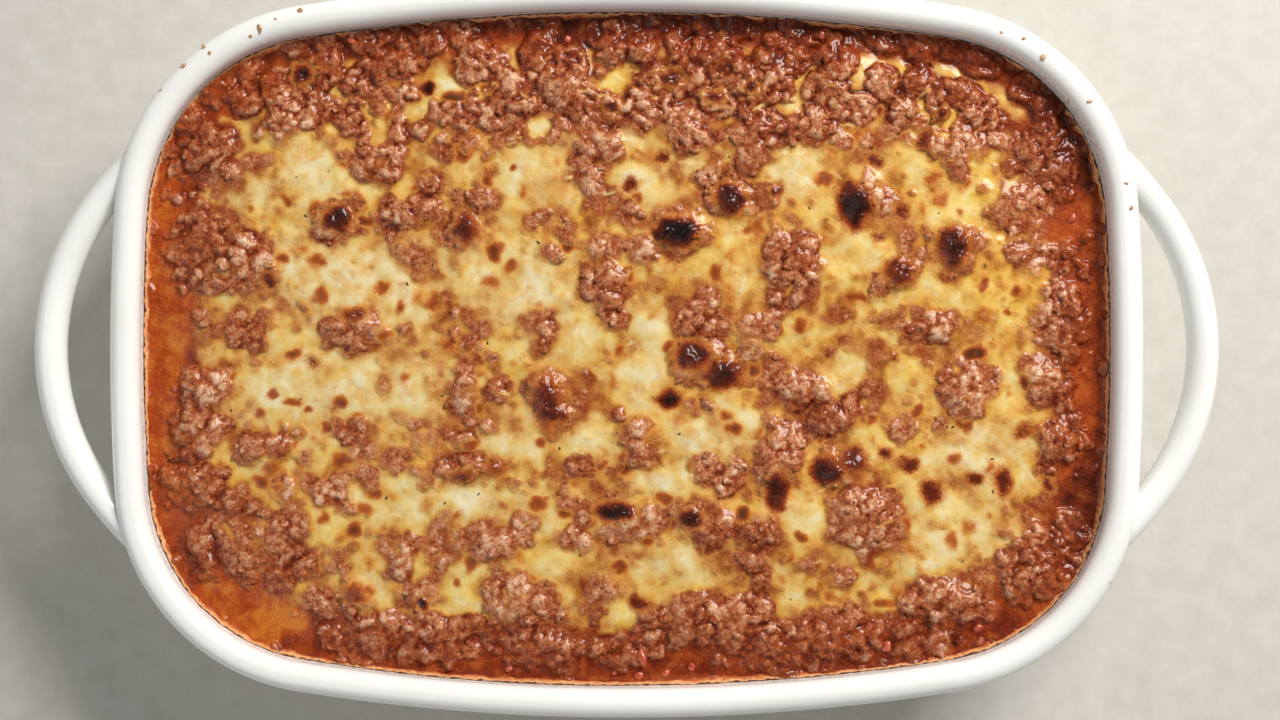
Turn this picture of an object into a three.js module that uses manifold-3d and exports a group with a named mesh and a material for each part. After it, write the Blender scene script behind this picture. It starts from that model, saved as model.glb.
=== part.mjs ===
// A polenta lasagna baked in a white stoneware dish with a loop handle at each end.
// Millimetres, +Z up. +X runs along the dish to one handle, +Y across it, and the
// origin is on the table under the middle of the dish.
import * as THREE from "three";
import { mergeVertices } from "three/addons/utils/BufferGeometryUtils.js";
import Module from "manifold-3d";

const wasm = await Module();
wasm.setup();

// The dish in plan: a long rectangle with bowed sides and wide round corners
const RIM_HALF_LENGTH = 173.5;
const RIM_HALF_WIDTH = 124;
const LONG_SIDE_RADIUS = 700;
const SHORT_SIDE_RADIUS = 733;
const CORNER_RADIUS = 73;
const SHORT_SIDE_STEPS = 3;
const CORNER_STEPS = 7;
const LONG_SIDE_STEPS = 4;

// The dish in section
const DISH_HEIGHT = 70;
const RIM_BEAD_RADIUS = 5;
const FLOOR_TOP = 7;
const FOOT_RECESS = 1.2;
const CAVITY_OVERSHOOT = 4;

// The two loop handles, each an oval bar on an arc
const HANDLE_REACH = 195.2;
const HANDLE_ARC_RADIUS = 81;
const HANDLE_HALF_ANGLE = 60;
const HANDLE_CENTRE_Z = 59.5;
const HANDLE_HALF_WIDTH = 5.3;
const HANDLE_HALF_HEIGHT = 6.5;
const HANDLE_FLARE = 1.25;
const HANDLE_FLARE_START = 38;
const HANDLE_STEPS = 14;
const HANDLE_SIDES = 12;

// The food
const GAP = 0.3;
const FOOD_EDGE_Z = 59.4;
const FOOD_CROWN = 1.2;
const CROWN_REACH = 45;
const WIDE_WAVES = { height: 0.5, length: 30 };
const SHORT_WAVES = { height: 0.3, length: 14 };
const GRID_CELL = 10;
const GRID_BOTTOM = -5;
const CHEESE_THICKNESS = 2;
const CHEESE_SLOPE = 0.3;
const CHEESE_INSET = 20;
const CHEESE_INSET_AT_TOP_SIDE = 9;
const CHEESE_EDGE_WAVES = { height: 9, length: 26 };
const CHEESE_CLEAR_OF_CLUMP = 1.2;
const CLUMP_RELIEF = 1.8;
const CLUMP_FADE = [0.3, 1.3];
const GRAIN_SMALLEST = 2.4;
const GRAIN_LARGEST = 4.8;
const GRAIN_SINK = 0.25;
const GRAIN_SWELL = 0.18;
const GRAIN_FLATNESS = 0.85;
const GRAIN_NARROWEST = 0.7;
const GRAIN_OVERLAP = 0.8;
const GRAIN_SPREAD = 0.75;
const GRAIN_ATTEMPTS = 40;
const CLUMP_GRAINS = 96;
const LOOSE_GRAINS = 20;
const LOOSE_BAND = [5, 18];
const WALL_CLEARANCE = 3;
const SEED = 7;
const MERGE_DISTANCE = 1e-4;

// Clumps of browned mince: centre x, centre y, half length, half width, turn in degrees
const MINCE_CLUMPS = [
  [-115, 78, 11, 9, 0], [-140, 67, 9, 11, 0], [-84, 64, 9, 8, 0], [-100, 44, 9, 7, -20],
  [-73, 46, 11, 5, 10], [-54, 40, 8, 5, -50], [-136, 31, 19, 12, 0], [-92, 7, 10, 7, 0],
  [-55, 97, 13, 7, 0], [-36, 86, 7, 9, 0], [-20, 90, 10, 8, 0], [-12, 70, 11, 6, -20],
  [-12, 57, 4, 7, 0], [15, 100, 26, 6, 0], [42, 92, 10, 9, 0], [20, 75, 9, 7, 20],
  [42, 71, 8, 11, 0], [58, 76, 9, 6, 0], [18, 40, 9, 7, 0], [35, 50, 6, 6, 0],
  [-8, 22, 7, 11, 0], [57, 27, 11, 12, 0], [80, 53, 7, 8, 0], [76, 93, 12, 9, 0],
  [111, 68, 11, 6, 0], [111, 34, 6, 8, -20], [92, 24, 6, 5, 0], [130, 50, 8, 8, 0],
  [142, 66, 10, 12, 0], [148, 12, 8, 14, 0], [105, 7, 8, 5, 0], [43, 5, 8, 7, 0],
  [28, -6, 11, 9, -20], [-141, -14, 9, 7, 0], [-145, -29, 9, 8, 0], [-148, -47, 10, 9, 0],
  [-122, -34, 9, 6, 0], [-132, -66, 8, 9, 0], [-142, -71, 9, 4, -60], [-84, -95, 9, 7, 0],
  [-68, -98, 11, 8, 0], [-76, -72, 5, 7, 0], [-92, -83, 6, 5, 0], [-52, -42, 11, 4, 5],
  [-27, -15, 6, 9, 0], [-55, -12, 5, 8, 0], [-45, -66, 9, 7, 0], [-37, -86, 12, 9, 0],
  [-28, -102, 13, 7, 0], [3, -31, 8, 8, 0], [0, -59, 11, 7, 0], [27, -58, 12, 8, -20],
  [46, -60, 7, 6, 0], [32, -92, 18, 10, 0], [62, -98, 19, 11, 0], [52, -36, 8, 10, 0],
  [60, -13, 10, 6, 0], [72, -24, 9, 6, 0], [80, -57, 12, 12, 0], [74, -41, 7, 5, 0],
  [115, -15, 8, 9, 0], [141, -10, 8, 8, 0], [145, -32, 8, 7, 0], [140, -72, 16, 11, 20],
  [107, -86, 15, 8, 0],
];

const radians = THREE.MathUtils.degToRad;
const smoothstep = THREE.MathUtils.smoothstep;
const random = seededRandom(SEED);

// Repeatable draws from 0 to 1
function seededRandom(seed) {
  let state = seed;
  return () => {
    state = (state + 0x6d2b79f5) | 0;
    let t = Math.imul(state ^ (state >>> 15), 1 | state);
    t = (t + Math.imul(t ^ (t >>> 7), 61 | t)) ^ t;
    return ((t ^ (t >>> 14)) >>> 0) / 4294967296;
  };
}

// A fixed value from -1 to 1 for each point of a whole-number lattice
function latticeValue(i, j) {
  let h = Math.imul(i, 374761393) + Math.imul(j, 668265263);
  h = Math.imul(h ^ (h >>> 13), 1274126177);
  return ((h ^ (h >>> 16)) >>> 0) / 2147483648 - 1;
}

// Smooth noise from -1 to 1 whose bumps are about one wavelength apart
function noise(x, y, wavelength) {
  const u = x / wavelength;
  const v = y / wavelength;
  const i = Math.floor(u);
  const j = Math.floor(v);
  const fu = smoothstep(u - i, 0, 1);
  const fv = smoothstep(v - j, 0, 1);
  const near = THREE.MathUtils.lerp(latticeValue(i, j), latticeValue(i + 1, j), fu);
  const far = THREE.MathUtils.lerp(latticeValue(i, j + 1), latticeValue(i + 1, j + 1), fu);
  return THREE.MathUtils.lerp(near, far, fv);
}

// The centres of the three arcs that make one quarter of the outline
const longCentre = new THREE.Vector2(0, RIM_HALF_WIDTH - LONG_SIDE_RADIUS);
const shortCentre = new THREE.Vector2(RIM_HALF_LENGTH - SHORT_SIDE_RADIUS, 0);
const cornerCentre = meetingPoint(
  longCentre, LONG_SIDE_RADIUS - CORNER_RADIUS,
  shortCentre, SHORT_SIDE_RADIUS - CORNER_RADIUS,
);
const shortArcEnd = cornerCentre.clone().sub(shortCentre).angle();
const longArcStart = cornerCentre.clone().sub(longCentre).angle();

// Where two circles cross, in the quarter with x and y above zero
function meetingPoint(a, radiusA, b, radiusB) {
  const between = b.clone().sub(a);
  const distance = between.length();
  const along = (radiusA ** 2 - radiusB ** 2 + distance ** 2) / (2 * distance);
  const across = Math.sqrt(radiusA ** 2 - along ** 2);
  between.normalize();
  const side = new THREE.Vector2(-between.y, between.x);
  const foot = a.clone().addScaledVector(between, along);
  const first = foot.clone().addScaledVector(side, across);
  const second = foot.clone().addScaledVector(side, -across);
  return first.x + first.y > second.x + second.y ? first : second;
}

// One quarter of the outline, moved out by an offset, from the +X axis to the +Y axis
function quarterOutline(offset) {
  const points = [];
  const addArc = (centre, radius, from, to, steps) => {
    for (let i = 0; i < steps; i++) {
      const angle = THREE.MathUtils.lerp(from, to, i / steps);
      points.push([
        centre.x + (radius + offset) * Math.cos(angle),
        centre.y + (radius + offset) * Math.sin(angle),
      ]);
    }
  };
  addArc(shortCentre, SHORT_SIDE_RADIUS, 0, shortArcEnd, SHORT_SIDE_STEPS);
  addArc(cornerCentre, CORNER_RADIUS, shortArcEnd, longArcStart, CORNER_STEPS);
  addArc(longCentre, LONG_SIDE_RADIUS, longArcStart, Math.PI / 2, LONG_SIDE_STEPS);
  points.push([0, RIM_HALF_WIDTH + offset]);
  return points;
}

// The whole outline at one height, anticlockwise from the +X axis
function outlineRing(offset, z) {
  const quarter = quarterOutline(offset);
  const back = quarter.slice().reverse();
  const mirrored = [
    ...quarter.slice(0, -1),
    ...back.slice(0, -1).map(([x, y]) => [-x, y]),
    ...quarter.slice(0, -1).map(([x, y]) => [-x, -y]),
    ...back.slice(0, -1).map(([x, y]) => [x, -y]),
  ];
  return mirrored.map(([x, y]) => new THREE.Vector3(x, y, z));
}

// How far a point lies inside the outer rim's outline
function depthInside(x, y) {
  const p = new THREE.Vector2(Math.abs(x), Math.abs(y));
  const fromShort = p.clone().sub(shortCentre);
  const fromLong = p.clone().sub(longCentre);
  if (fromShort.angle() < shortArcEnd) return SHORT_SIDE_RADIUS - fromShort.length();
  if (fromLong.angle() > longArcStart) return LONG_SIDE_RADIUS - fromLong.length();
  return CORNER_RADIUS - p.distanceTo(cornerCentre);
}

// A closed skin through rings of equal count, with a flat fan over the first and last
function loft(rings) {
  const count = rings[0].length;
  const positions = rings.flat().flatMap((p) => p.toArray());
  const index = [];
  for (let r = 0; r < rings.length - 1; r++) {
    for (let i = 0; i < count; i++) {
      const a = r * count + i;
      const b = r * count + ((i + 1) % count);
      index.push(a, b, b + count, a, b + count, a + count);
    }
  }
  const addCap = (start, facesBack) => {
    const ring = rings[start / count];
    const middle = ring.reduce((sum, p) => sum.add(p), new THREE.Vector3()).divideScalar(count);
    const tip = positions.length / 3;
    positions.push(...middle.toArray());
    for (let i = 0; i < count; i++) {
      const a = start + i;
      const b = start + ((i + 1) % count);
      index.push(...(facesBack ? [tip, b, a] : [tip, a, b]));
    }
  };
  addCap(0, true);
  addCap((rings.length - 1) * count, false);
  const geometry = new THREE.BufferGeometry();
  geometry.setAttribute("position", new THREE.Float32BufferAttribute(positions, 3));
  geometry.setIndex(index);
  return geometry;
}

// A solid for cutting and joining, from the triangles of a closed skin
function solidOf(geometry) {
  const bare = new THREE.BufferGeometry();
  bare.setAttribute("position", geometry.getAttribute("position"));
  bare.setIndex(geometry.index);
  const merged = mergeVertices(bare, MERGE_DISTANCE);
  return new wasm.Manifold(new wasm.Mesh({
    numProp: 3,
    vertProperties: merged.getAttribute("position").array,
    triVerts: new Uint32Array(merged.index.array),
  }));
}

// The triangles of a solid, as a geometry
function geometryOf(solid) {
  const mesh = solid.getMesh();
  const geometry = new THREE.BufferGeometry();
  geometry.setAttribute("position", new THREE.Float32BufferAttribute(mesh.vertProperties, 3));
  geometry.setIndex([...mesh.triVerts]);
  geometry.computeVertexNormals();
  return geometry;
}

// The largest outer skin of a solid, without loose scraps or sealed hollows
function mainBody(solid) {
  const bodies = solid.decompose().filter((body) => body.volume() > 0);
  return bodies.reduce((best, body) => (body.volume() > best.volume() ? body : best));
}

// Points of the round rim bead, as offset and height, between two angles in degrees
function rimArc(from, to, steps) {
  const points = [];
  for (let i = 0; i <= steps; i++) {
    const angle = radians(THREE.MathUtils.lerp(from, to, i / steps));
    points.push([
      RIM_BEAD_RADIUS * (Math.cos(angle) - 1),
      DISH_HEIGHT - RIM_BEAD_RADIUS + RIM_BEAD_RADIUS * Math.sin(angle),
    ]);
  }
  return points;
}

// The inside of the dish from the top of the rim to the floor, as offset and height
const innerProfile = [
  ...rimArc(90, 180, 3),
  [-10.7, 60], [-12.3, 50], [-15.3, 29], [-19, 15], [-23, 9.6], [-30, FLOOR_TOP + 0.3],
  [-38, FLOOR_TOP],
];

// The dish and its handles in one piece: the outer block less its hollow
function dishSolid() {
  const outerProfile = [
    [-28.5, FOOT_RECESS], [-27, 0], [-21, 0], [-19, 1.2], [-16.2, 5], [-13.4, 12],
    [-8.2, 35], [-4.4, 56],
    ...rimArc(-50, 90, 5),
  ];
  const block = solidOf(loft(outerProfile.map(([offset, z]) => outlineRing(offset, z))));
  const brim = innerProfile[0];
  const cavityProfile = [[brim[0], DISH_HEIGHT + CAVITY_OVERSHOOT], ...innerProfile];
  const cavityRings = cavityProfile.map(([offset, z]) => outlineRing(offset, z));
  const cavity = solidOf(loft(cavityRings.reverse()));
  return block.add(handleSolid(1)).add(handleSolid(-1)).subtract(cavity);
}

// An oval bar on a level arc, thicker where it runs into the wall
function handleSolid(side) {
  const arcCentreX = HANDLE_REACH - HANDLE_ARC_RADIUS;
  const rings = [];
  for (let i = 0; i <= HANDLE_STEPS; i++) {
    const turn = THREE.MathUtils.lerp(-HANDLE_HALF_ANGLE, HANDLE_HALF_ANGLE, i / HANDLE_STEPS);
    const spread = smoothstep(Math.abs(turn), HANDLE_FLARE_START, HANDLE_HALF_ANGLE);
    const scale = THREE.MathUtils.lerp(1, HANDLE_FLARE, spread);
    const angle = radians(turn);
    const ring = [];
    for (let k = 0; k < HANDLE_SIDES; k++) {
      const around = (k / HANDLE_SIDES) * 2 * Math.PI;
      const radius = HANDLE_ARC_RADIUS + HANDLE_HALF_WIDTH * scale * Math.cos(around);
      ring.push(new THREE.Vector3(
        side * (arcCentreX + radius * Math.cos(angle)),
        radius * Math.sin(angle) * side,
        HANDLE_CENTRE_Z - HANDLE_HALF_HEIGHT * scale * Math.sin(around),
      ));
    }
    rings.push(ring);
  }
  return solidOf(loft(rings));
}

// The height of the food between clumps
function bedHeight(x, y) {
  const depth = depthInside(x, y) - 2 * RIM_BEAD_RADIUS;
  const crown = FOOD_CROWN * smoothstep(depth, 0, CROWN_REACH);
  const reach = Math.min(...MINCE_CLUMPS.map((clump) => clumpReach(x, y, clump)));
  const relief = CLUMP_RELIEF * (1 - smoothstep(reach, ...CLUMP_FADE));
  const waves = WIDE_WAVES.height * noise(x, y, WIDE_WAVES.length)
    + SHORT_WAVES.height * noise(x, y, SHORT_WAVES.length);
  return FOOD_EDGE_Z + crown + relief + waves;
}

// How far a point is inside a clump: 0 at its middle, 1 at its edge
function clumpReach(x, y, [clumpX, clumpY, halfLength, halfWidth, turn]) {
  const angle = radians(turn);
  const dx = x - clumpX;
  const dy = y - clumpY;
  const along = (dx * Math.cos(angle) + dy * Math.sin(angle)) / halfLength;
  const across = (-dx * Math.sin(angle) + dy * Math.cos(angle)) / halfWidth;
  return Math.hypot(along, across);
}

// The thickness of the melted cheese, below zero where there is none
function cheeseThickness(x, y) {
  const depth = depthInside(x, y) - 2 * RIM_BEAD_RADIUS;
  const inset = CHEESE_INSET + CHEESE_INSET_AT_TOP_SIDE * smoothstep(y, 0, RIM_HALF_WIDTH);
  const wander = CHEESE_EDGE_WAVES.height * noise(x, y, CHEESE_EDGE_WAVES.length);
  let fromEdge = depth - inset + wander;
  for (const clump of MINCE_CLUMPS) {
    const size = (clump[2] + clump[3]) / 2;
    fromEdge = Math.min(fromEdge, (clumpReach(x, y, clump) - CHEESE_CLEAR_OF_CLUMP) * size);
  }
  return CHEESE_SLOPE * THREE.MathUtils.clamp(fromEdge, -GRID_CELL, CHEESE_THICKNESS / CHEESE_SLOPE);
}

// A solid under a height function, on a grid that covers the dish
function terrain(height) {
  const columns = Math.ceil((2 * RIM_HALF_LENGTH) / GRID_CELL);
  const rows = Math.ceil((2 * RIM_HALF_WIDTH) / GRID_CELL);
  const positions = [];
  const index = [];
  const top = (i, j) => j * (columns + 1) + i;
  for (let j = 0; j <= rows; j++) {
    for (let i = 0; i <= columns; i++) {
      const x = (i - columns / 2) * GRID_CELL;
      const y = (j - rows / 2) * GRID_CELL;
      positions.push(x, y, height(x, y));
    }
  }
  for (let j = 0; j < rows; j++) {
    for (let i = 0; i < columns; i++) {
      const [a, b, c, d] = [top(i, j), top(i + 1, j), top(i + 1, j + 1), top(i, j + 1)];
      index.push(...((i + j) % 2 ? [a, b, c, a, c, d] : [a, b, d, b, c, d]));
    }
  }
  const border = [];
  for (let i = 0; i < columns; i++) border.push(top(i, 0));
  for (let j = 0; j < rows; j++) border.push(top(columns, j));
  for (let i = columns; i > 0; i--) border.push(top(i, rows));
  for (let j = rows; j > 0; j--) border.push(top(0, j));
  const firstLow = positions.length / 3;
  for (const k of border) positions.push(positions[3 * k], positions[3 * k + 1], GRID_BOTTOM);
  const middle = positions.length / 3;
  positions.push(0, 0, GRID_BOTTOM);
  border.forEach((k, n) => {
    const next = (n + 1) % border.length;
    const [low, nextLow] = [firstLow + n, firstLow + next];
    index.push(k, low, nextLow, k, nextLow, border[next], middle, nextLow, low);
  });
  const geometry = new THREE.BufferGeometry();
  geometry.setAttribute("position", new THREE.Float32BufferAttribute(positions, 3));
  geometry.setIndex(index);
  return solidOf(geometry);
}

// The space that the food may fill, a gap inside the wall and above the floor
function fillSpace() {
  const rings = innerProfile.map(([offset, z]) => outlineRing(offset - GAP, z + GAP));
  return solidOf(loft(rings.reverse()));
}

// One lumpy crumb of mince
function grainSolid(x, y, z, radius) {
  const geometry = new THREE.SphereGeometry(1, 6, 4);
  geometry.deleteAttribute("normal");
  geometry.deleteAttribute("uv");
  const merged = mergeVertices(geometry, MERGE_DISTANCE);
  const place = merged.getAttribute("position");
  for (let i = 0; i < place.count; i++) {
    const swell = 1 + GRAIN_SWELL * (2 * random() - 1);
    place.setXYZ(i, place.getX(i) * swell, place.getY(i) * swell, place.getZ(i) * swell);
  }
  merged.applyMatrix4(new THREE.Matrix4().compose(
    new THREE.Vector3(x, y, z),
    new THREE.Quaternion().setFromEuler(
      new THREE.Euler(random() * Math.PI, random() * Math.PI, random() * Math.PI),
    ),
    new THREE.Vector3(
      radius,
      radius * THREE.MathUtils.lerp(GRAIN_NARROWEST, 1, random()),
      radius * GRAIN_FLATNESS,
    ),
  ));
  return solidOf(merged);
}

// Places for the grains, the largest first, spread over the clumps and then the sauce
function grainPlaces() {
  const places = [];
  const isFree = (x, y, radius) => places.every((other) => (
    Math.hypot(x - other.x, y - other.y) > radius + GRAIN_OVERLAP * other.radius
  ));
  const addGrains = (count, drawPlace) => {
    let placed = 0;
    for (let attempt = 0; placed < count && attempt < GRAIN_ATTEMPTS * count; attempt++) {
      const radius = THREE.MathUtils.lerp(GRAIN_LARGEST, GRAIN_SMALLEST, placed / count);
      const place = drawPlace(radius);
      if (place && isFree(place.x, place.y, radius)) {
        places.push({ ...place, radius });
        placed++;
      }
    }
  };
  addGrains(CLUMP_GRAINS, () => {
    const clump = MINCE_CLUMPS[Math.floor(random() * MINCE_CLUMPS.length)];
    const spread = Math.sqrt(random()) * GRAIN_SPREAD;
    const angle = random() * 2 * Math.PI;
    const turn = radians(clump[4]);
    const along = clump[2] * spread * Math.cos(angle);
    const across = clump[3] * spread * Math.sin(angle);
    return {
      x: clump[0] + along * Math.cos(turn) - across * Math.sin(turn),
      y: clump[1] + along * Math.sin(turn) + across * Math.cos(turn),
    };
  });
  addGrains(LOOSE_GRAINS, (radius) => {
    const x = (2 * random() - 1) * RIM_HALF_LENGTH;
    const y = (2 * random() - 1) * RIM_HALF_WIDTH;
    const depth = depthInside(x, y) - 2 * RIM_BEAD_RADIUS - radius;
    return depth > LOOSE_BAND[0] && depth < LOOSE_BAND[1] ? { x, y } : null;
  });
  return places;
}

// The lasagna with its grains fused on, and the cheese over it
function foodSolids() {
  const room = fillSpace();
  const bed = terrain(bedHeight);
  const cheese = mainBody(
    terrain((x, y) => bedHeight(x, y) + GAP + cheeseThickness(x, y))
      .subtract(terrain((x, y) => bedHeight(x, y) + GAP))
      .intersect(room),
  );
  const grains = [];
  for (const { x, y, radius } of grainPlaces()) {
    const z = bedHeight(x, y) - GRAIN_SINK * radius;
    const reach = (1 + GRAIN_SWELL) * radius;
    const clear = new THREE.SphereGeometry(reach + 2 * GAP, 8, 6).translate(x, y, z);
    const crossesCheese = solidOf(clear).intersect(cheese).volume() > 0;
    if (!crossesCheese && depthInside(x, y) > 2 * RIM_BEAD_RADIUS + WALL_CLEARANCE + reach) {
      grains.push(grainSolid(x, y, z, radius));
    }
  }
  const lasagna = mainBody(wasm.Manifold.union([bed, ...grains]).intersect(room));
  return { lasagna, cheese };
}

function namedMesh(name, solid, color, roughness) {
  const material = new THREE.MeshStandardMaterial({ color, roughness, metalness: 0 });
  const mesh = new THREE.Mesh(geometryOf(solid), material);
  mesh.name = name;
  return mesh;
}

const { lasagna, cheese } = foodSolids();
const lasagnaDish = new THREE.Group();
lasagnaDish.add(
  namedMesh("dish", dishSolid(), 0xeeeeea, 0.2),
  namedMesh("lasagna", lasagna, 0x9a5233, 0.4),
  namedMesh("melted_cheese", cheese, 0xe6cf85, 0.35),
);

export default lasagnaDish;
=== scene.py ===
"""A polenta lasagna baked in a white stoneware dish, seen from straight above.

The shapes are worked out in millimetres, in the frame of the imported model: +X runs
along the dish, +Y across it, and z is 0 on the table. MM scales them where a mesh is made.
"""

import math

import bmesh
import bpy
import numpy as np
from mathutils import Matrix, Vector


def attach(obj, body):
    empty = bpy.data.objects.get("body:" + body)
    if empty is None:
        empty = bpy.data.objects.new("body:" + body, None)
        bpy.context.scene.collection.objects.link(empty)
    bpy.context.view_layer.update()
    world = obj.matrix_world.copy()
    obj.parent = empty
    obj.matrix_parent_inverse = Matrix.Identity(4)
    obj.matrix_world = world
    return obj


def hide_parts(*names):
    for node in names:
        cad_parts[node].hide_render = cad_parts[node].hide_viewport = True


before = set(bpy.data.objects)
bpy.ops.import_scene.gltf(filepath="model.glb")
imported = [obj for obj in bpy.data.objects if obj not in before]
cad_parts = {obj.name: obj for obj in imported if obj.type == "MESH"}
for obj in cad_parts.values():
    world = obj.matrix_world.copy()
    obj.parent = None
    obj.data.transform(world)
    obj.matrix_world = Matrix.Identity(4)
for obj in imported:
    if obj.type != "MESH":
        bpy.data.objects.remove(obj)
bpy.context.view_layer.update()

MM = 0.001
rng = np.random.default_rng(21)

# The dish in plan and section, as in the solid that it replaces
RIM_HALF_LENGTH = 173.5
RIM_HALF_WIDTH = 124.0
LONG_SIDE_RADIUS = 700.0
SHORT_SIDE_RADIUS = 733.0
CORNER_RADIUS = 73.0
DISH_HEIGHT = 70.0
RIM_BEAD_RADIUS = 5.0
MOUTH_DEPTH = 2 * RIM_BEAD_RADIUS
HANDLE_REACH = 195.2
HANDLE_ARC_RADIUS = 81.0
HANDLE_HALF_ANGLE = 60.0
HANDLE_CENTRE_Z = 59.5
HANDLE_HALF_WIDTH = 5.3
HANDLE_HALF_HEIGHT = 6.5
HANDLE_FLARE = 1.28
HANDLE_FLARE_START = 38.0
HANDLE_END_DEPTH = 8.0
HANDLE_SIDES = 40
HANDLE_STEPS = 96
RIM_POINTS = 420

# The food
FLOOR_TOP = 7.3
FOOD_EDGE_Z = 59.4
FOOD_CROWN = 1.2
CROWN_REACH = 45.0
CLUMP_RELIEF = 1.8
WALL_GAP = 0.15
WALL_LEAN = 0.7
FOOD_EDGE_DEPTH = MOUTH_DEPTH + WALL_LEAN + WALL_GAP
BODY_BELOW_SKIN = 2.6
BODY_TAPER = 10.5
FIELD_CELL = 0.5
BED_CELL = 2.0
TOP_CELL = 0.52

# The mince: spacing of its mounds, lumps and grains, and how high each stands
MOUND_SPACING = 13.0
BIG_SPACING, BIG_HEIGHT = 6.2, 1.3
MIDDLING_SPACING, MIDDLING_HEIGHT = 3.2, 0.7
GRAIN_SPACING, GRAIN_HEIGHT = 1.5, 0.5

# The cheese: how thick its film is, from 0 to 1, and what adds to it or takes from it
FILM = 0.58
FILM_IN_POOL = 0.32
FILM_ON_CLUMP = -0.2
FILM_ON_SAUCE = -0.35
FILM_IN_GAP = 0.18
FILM_SWELL = 0.46
FILM_RIPPLE = 0.16
FILM_HEIGHT = 1.6
THICK_CHEESE = 0.5
THIN_CHEESE = 0.27
DROWNED_SPACINGS = (6.4, 3.4)
BROWNED_SPACINGS = (6.8, 3.4)

# By the wall: how wide the ring of sauce is, and how high it creeps and is baked on
SAUCE_RING = 17.0
CREEP_HEIGHT = 1.5
BAKED_EDGE_Z = 62.6
BAKED_EDGE_ROWS = 7
BAKED_EDGE_POINTS = 1500

# Strands of cheese over the mince, how many of them lie in the upper part, and herb flecks
STRANDS = 70
STRANDS_AT_TOP = 44
HERB_FLECKS = 70

# The photograph: the camera looks straight down at the height that gives its scale
CAMERA_TARGET = (4.5, -3.8)
FRAME_WIDTH_AT_RIM = 426.7
LENS_MM = 50.0
SENSOR_MM = 36.0

# The studio, in metres and watts
FLOOR_SIZE = 4
LIT_POINT = (0, 0, 0.05)
WINDOW = {
    "position": (0.72, 0.86, 1.05), "size": (0.7, 0.55), "power": 29.6,
    "colour": (1.0, 0.975, 0.94),
}
FILL = {
    "position": (-0.9, -0.6, 1.1), "size": (1.4, 1.4), "power": 5.2, "colour": (1.0, 0.99, 0.98),
}
SKY_STRENGTH = 0.42
SKY_LOW = (0.1, (0.95, 0.97, 1.0, 1.0))
SKY_HIGH = (0.95, (0.16, 0.165, 0.17, 1.0))

# Clumps of browned mince: centre x, centre y, half length, half width, turn in degrees
MINCE_CLUMPS = [
    (-115, 78, 11, 9, 0), (-140, 67, 9, 11, 0), (-84, 64, 9, 8, 0), (-100, 44, 9, 7, -20),
    (-73, 46, 11, 5, 10), (-54, 40, 8, 5, -50), (-136, 31, 19, 12, 0), (-92, 7, 10, 7, 0),
    (-55, 97, 13, 7, 0), (-36, 86, 7, 9, 0), (-20, 90, 10, 8, 0), (-12, 70, 11, 6, -20),
    (-12, 57, 4, 7, 0), (15, 100, 26, 6, 0), (42, 92, 10, 9, 0), (20, 75, 9, 7, 20),
    (42, 71, 8, 11, 0), (58, 76, 9, 6, 0), (18, 40, 9, 7, 0), (35, 50, 6, 6, 0),
    (-8, 22, 7, 11, 0), (57, 27, 11, 12, 0), (80, 53, 7, 8, 0), (76, 93, 12, 9, 0),
    (111, 68, 11, 6, 0), (111, 34, 6, 8, -20), (92, 24, 6, 5, 0), (130, 50, 8, 8, 0),
    (142, 66, 10, 12, 0), (148, 12, 8, 14, 0), (105, 7, 8, 5, 0), (43, 5, 8, 7, 0),
    (28, -6, 11, 9, -20), (-141, -14, 9, 7, 0), (-145, -29, 9, 8, 0), (-148, -47, 10, 9, 0),
    (-122, -34, 9, 6, 0), (-132, -66, 8, 9, 0), (-142, -71, 9, 4, -60), (-84, -95, 9, 7, 0),
    (-68, -98, 11, 8, 0), (-76, -72, 5, 7, 0), (-92, -83, 6, 5, 0), (-52, -42, 11, 4, 5),
    (-27, -15, 6, 9, 0), (-55, -12, 5, 8, 0), (-45, -66, 9, 7, 0), (-37, -86, 12, 9, 0),
    (-28, -102, 13, 7, 0), (3, -31, 8, 8, 0), (0, -59, 11, 7, 0), (27, -58, 12, 8, -20),
    (46, -60, 7, 6, 0), (32, -92, 18, 10, 0), (62, -98, 19, 11, 0), (52, -36, 8, 10, 0),
    (60, -13, 10, 6, 0), (72, -24, 9, 6, 0), (80, -57, 12, 12, 0), (74, -41, 7, 5, 0),
    (115, -15, 8, 9, 0), (141, -10, 8, 8, 0), (145, -32, 8, 7, 0), (140, -72, 16, 11, 20),
    (107, -86, 15, 8, 0),
]

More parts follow.
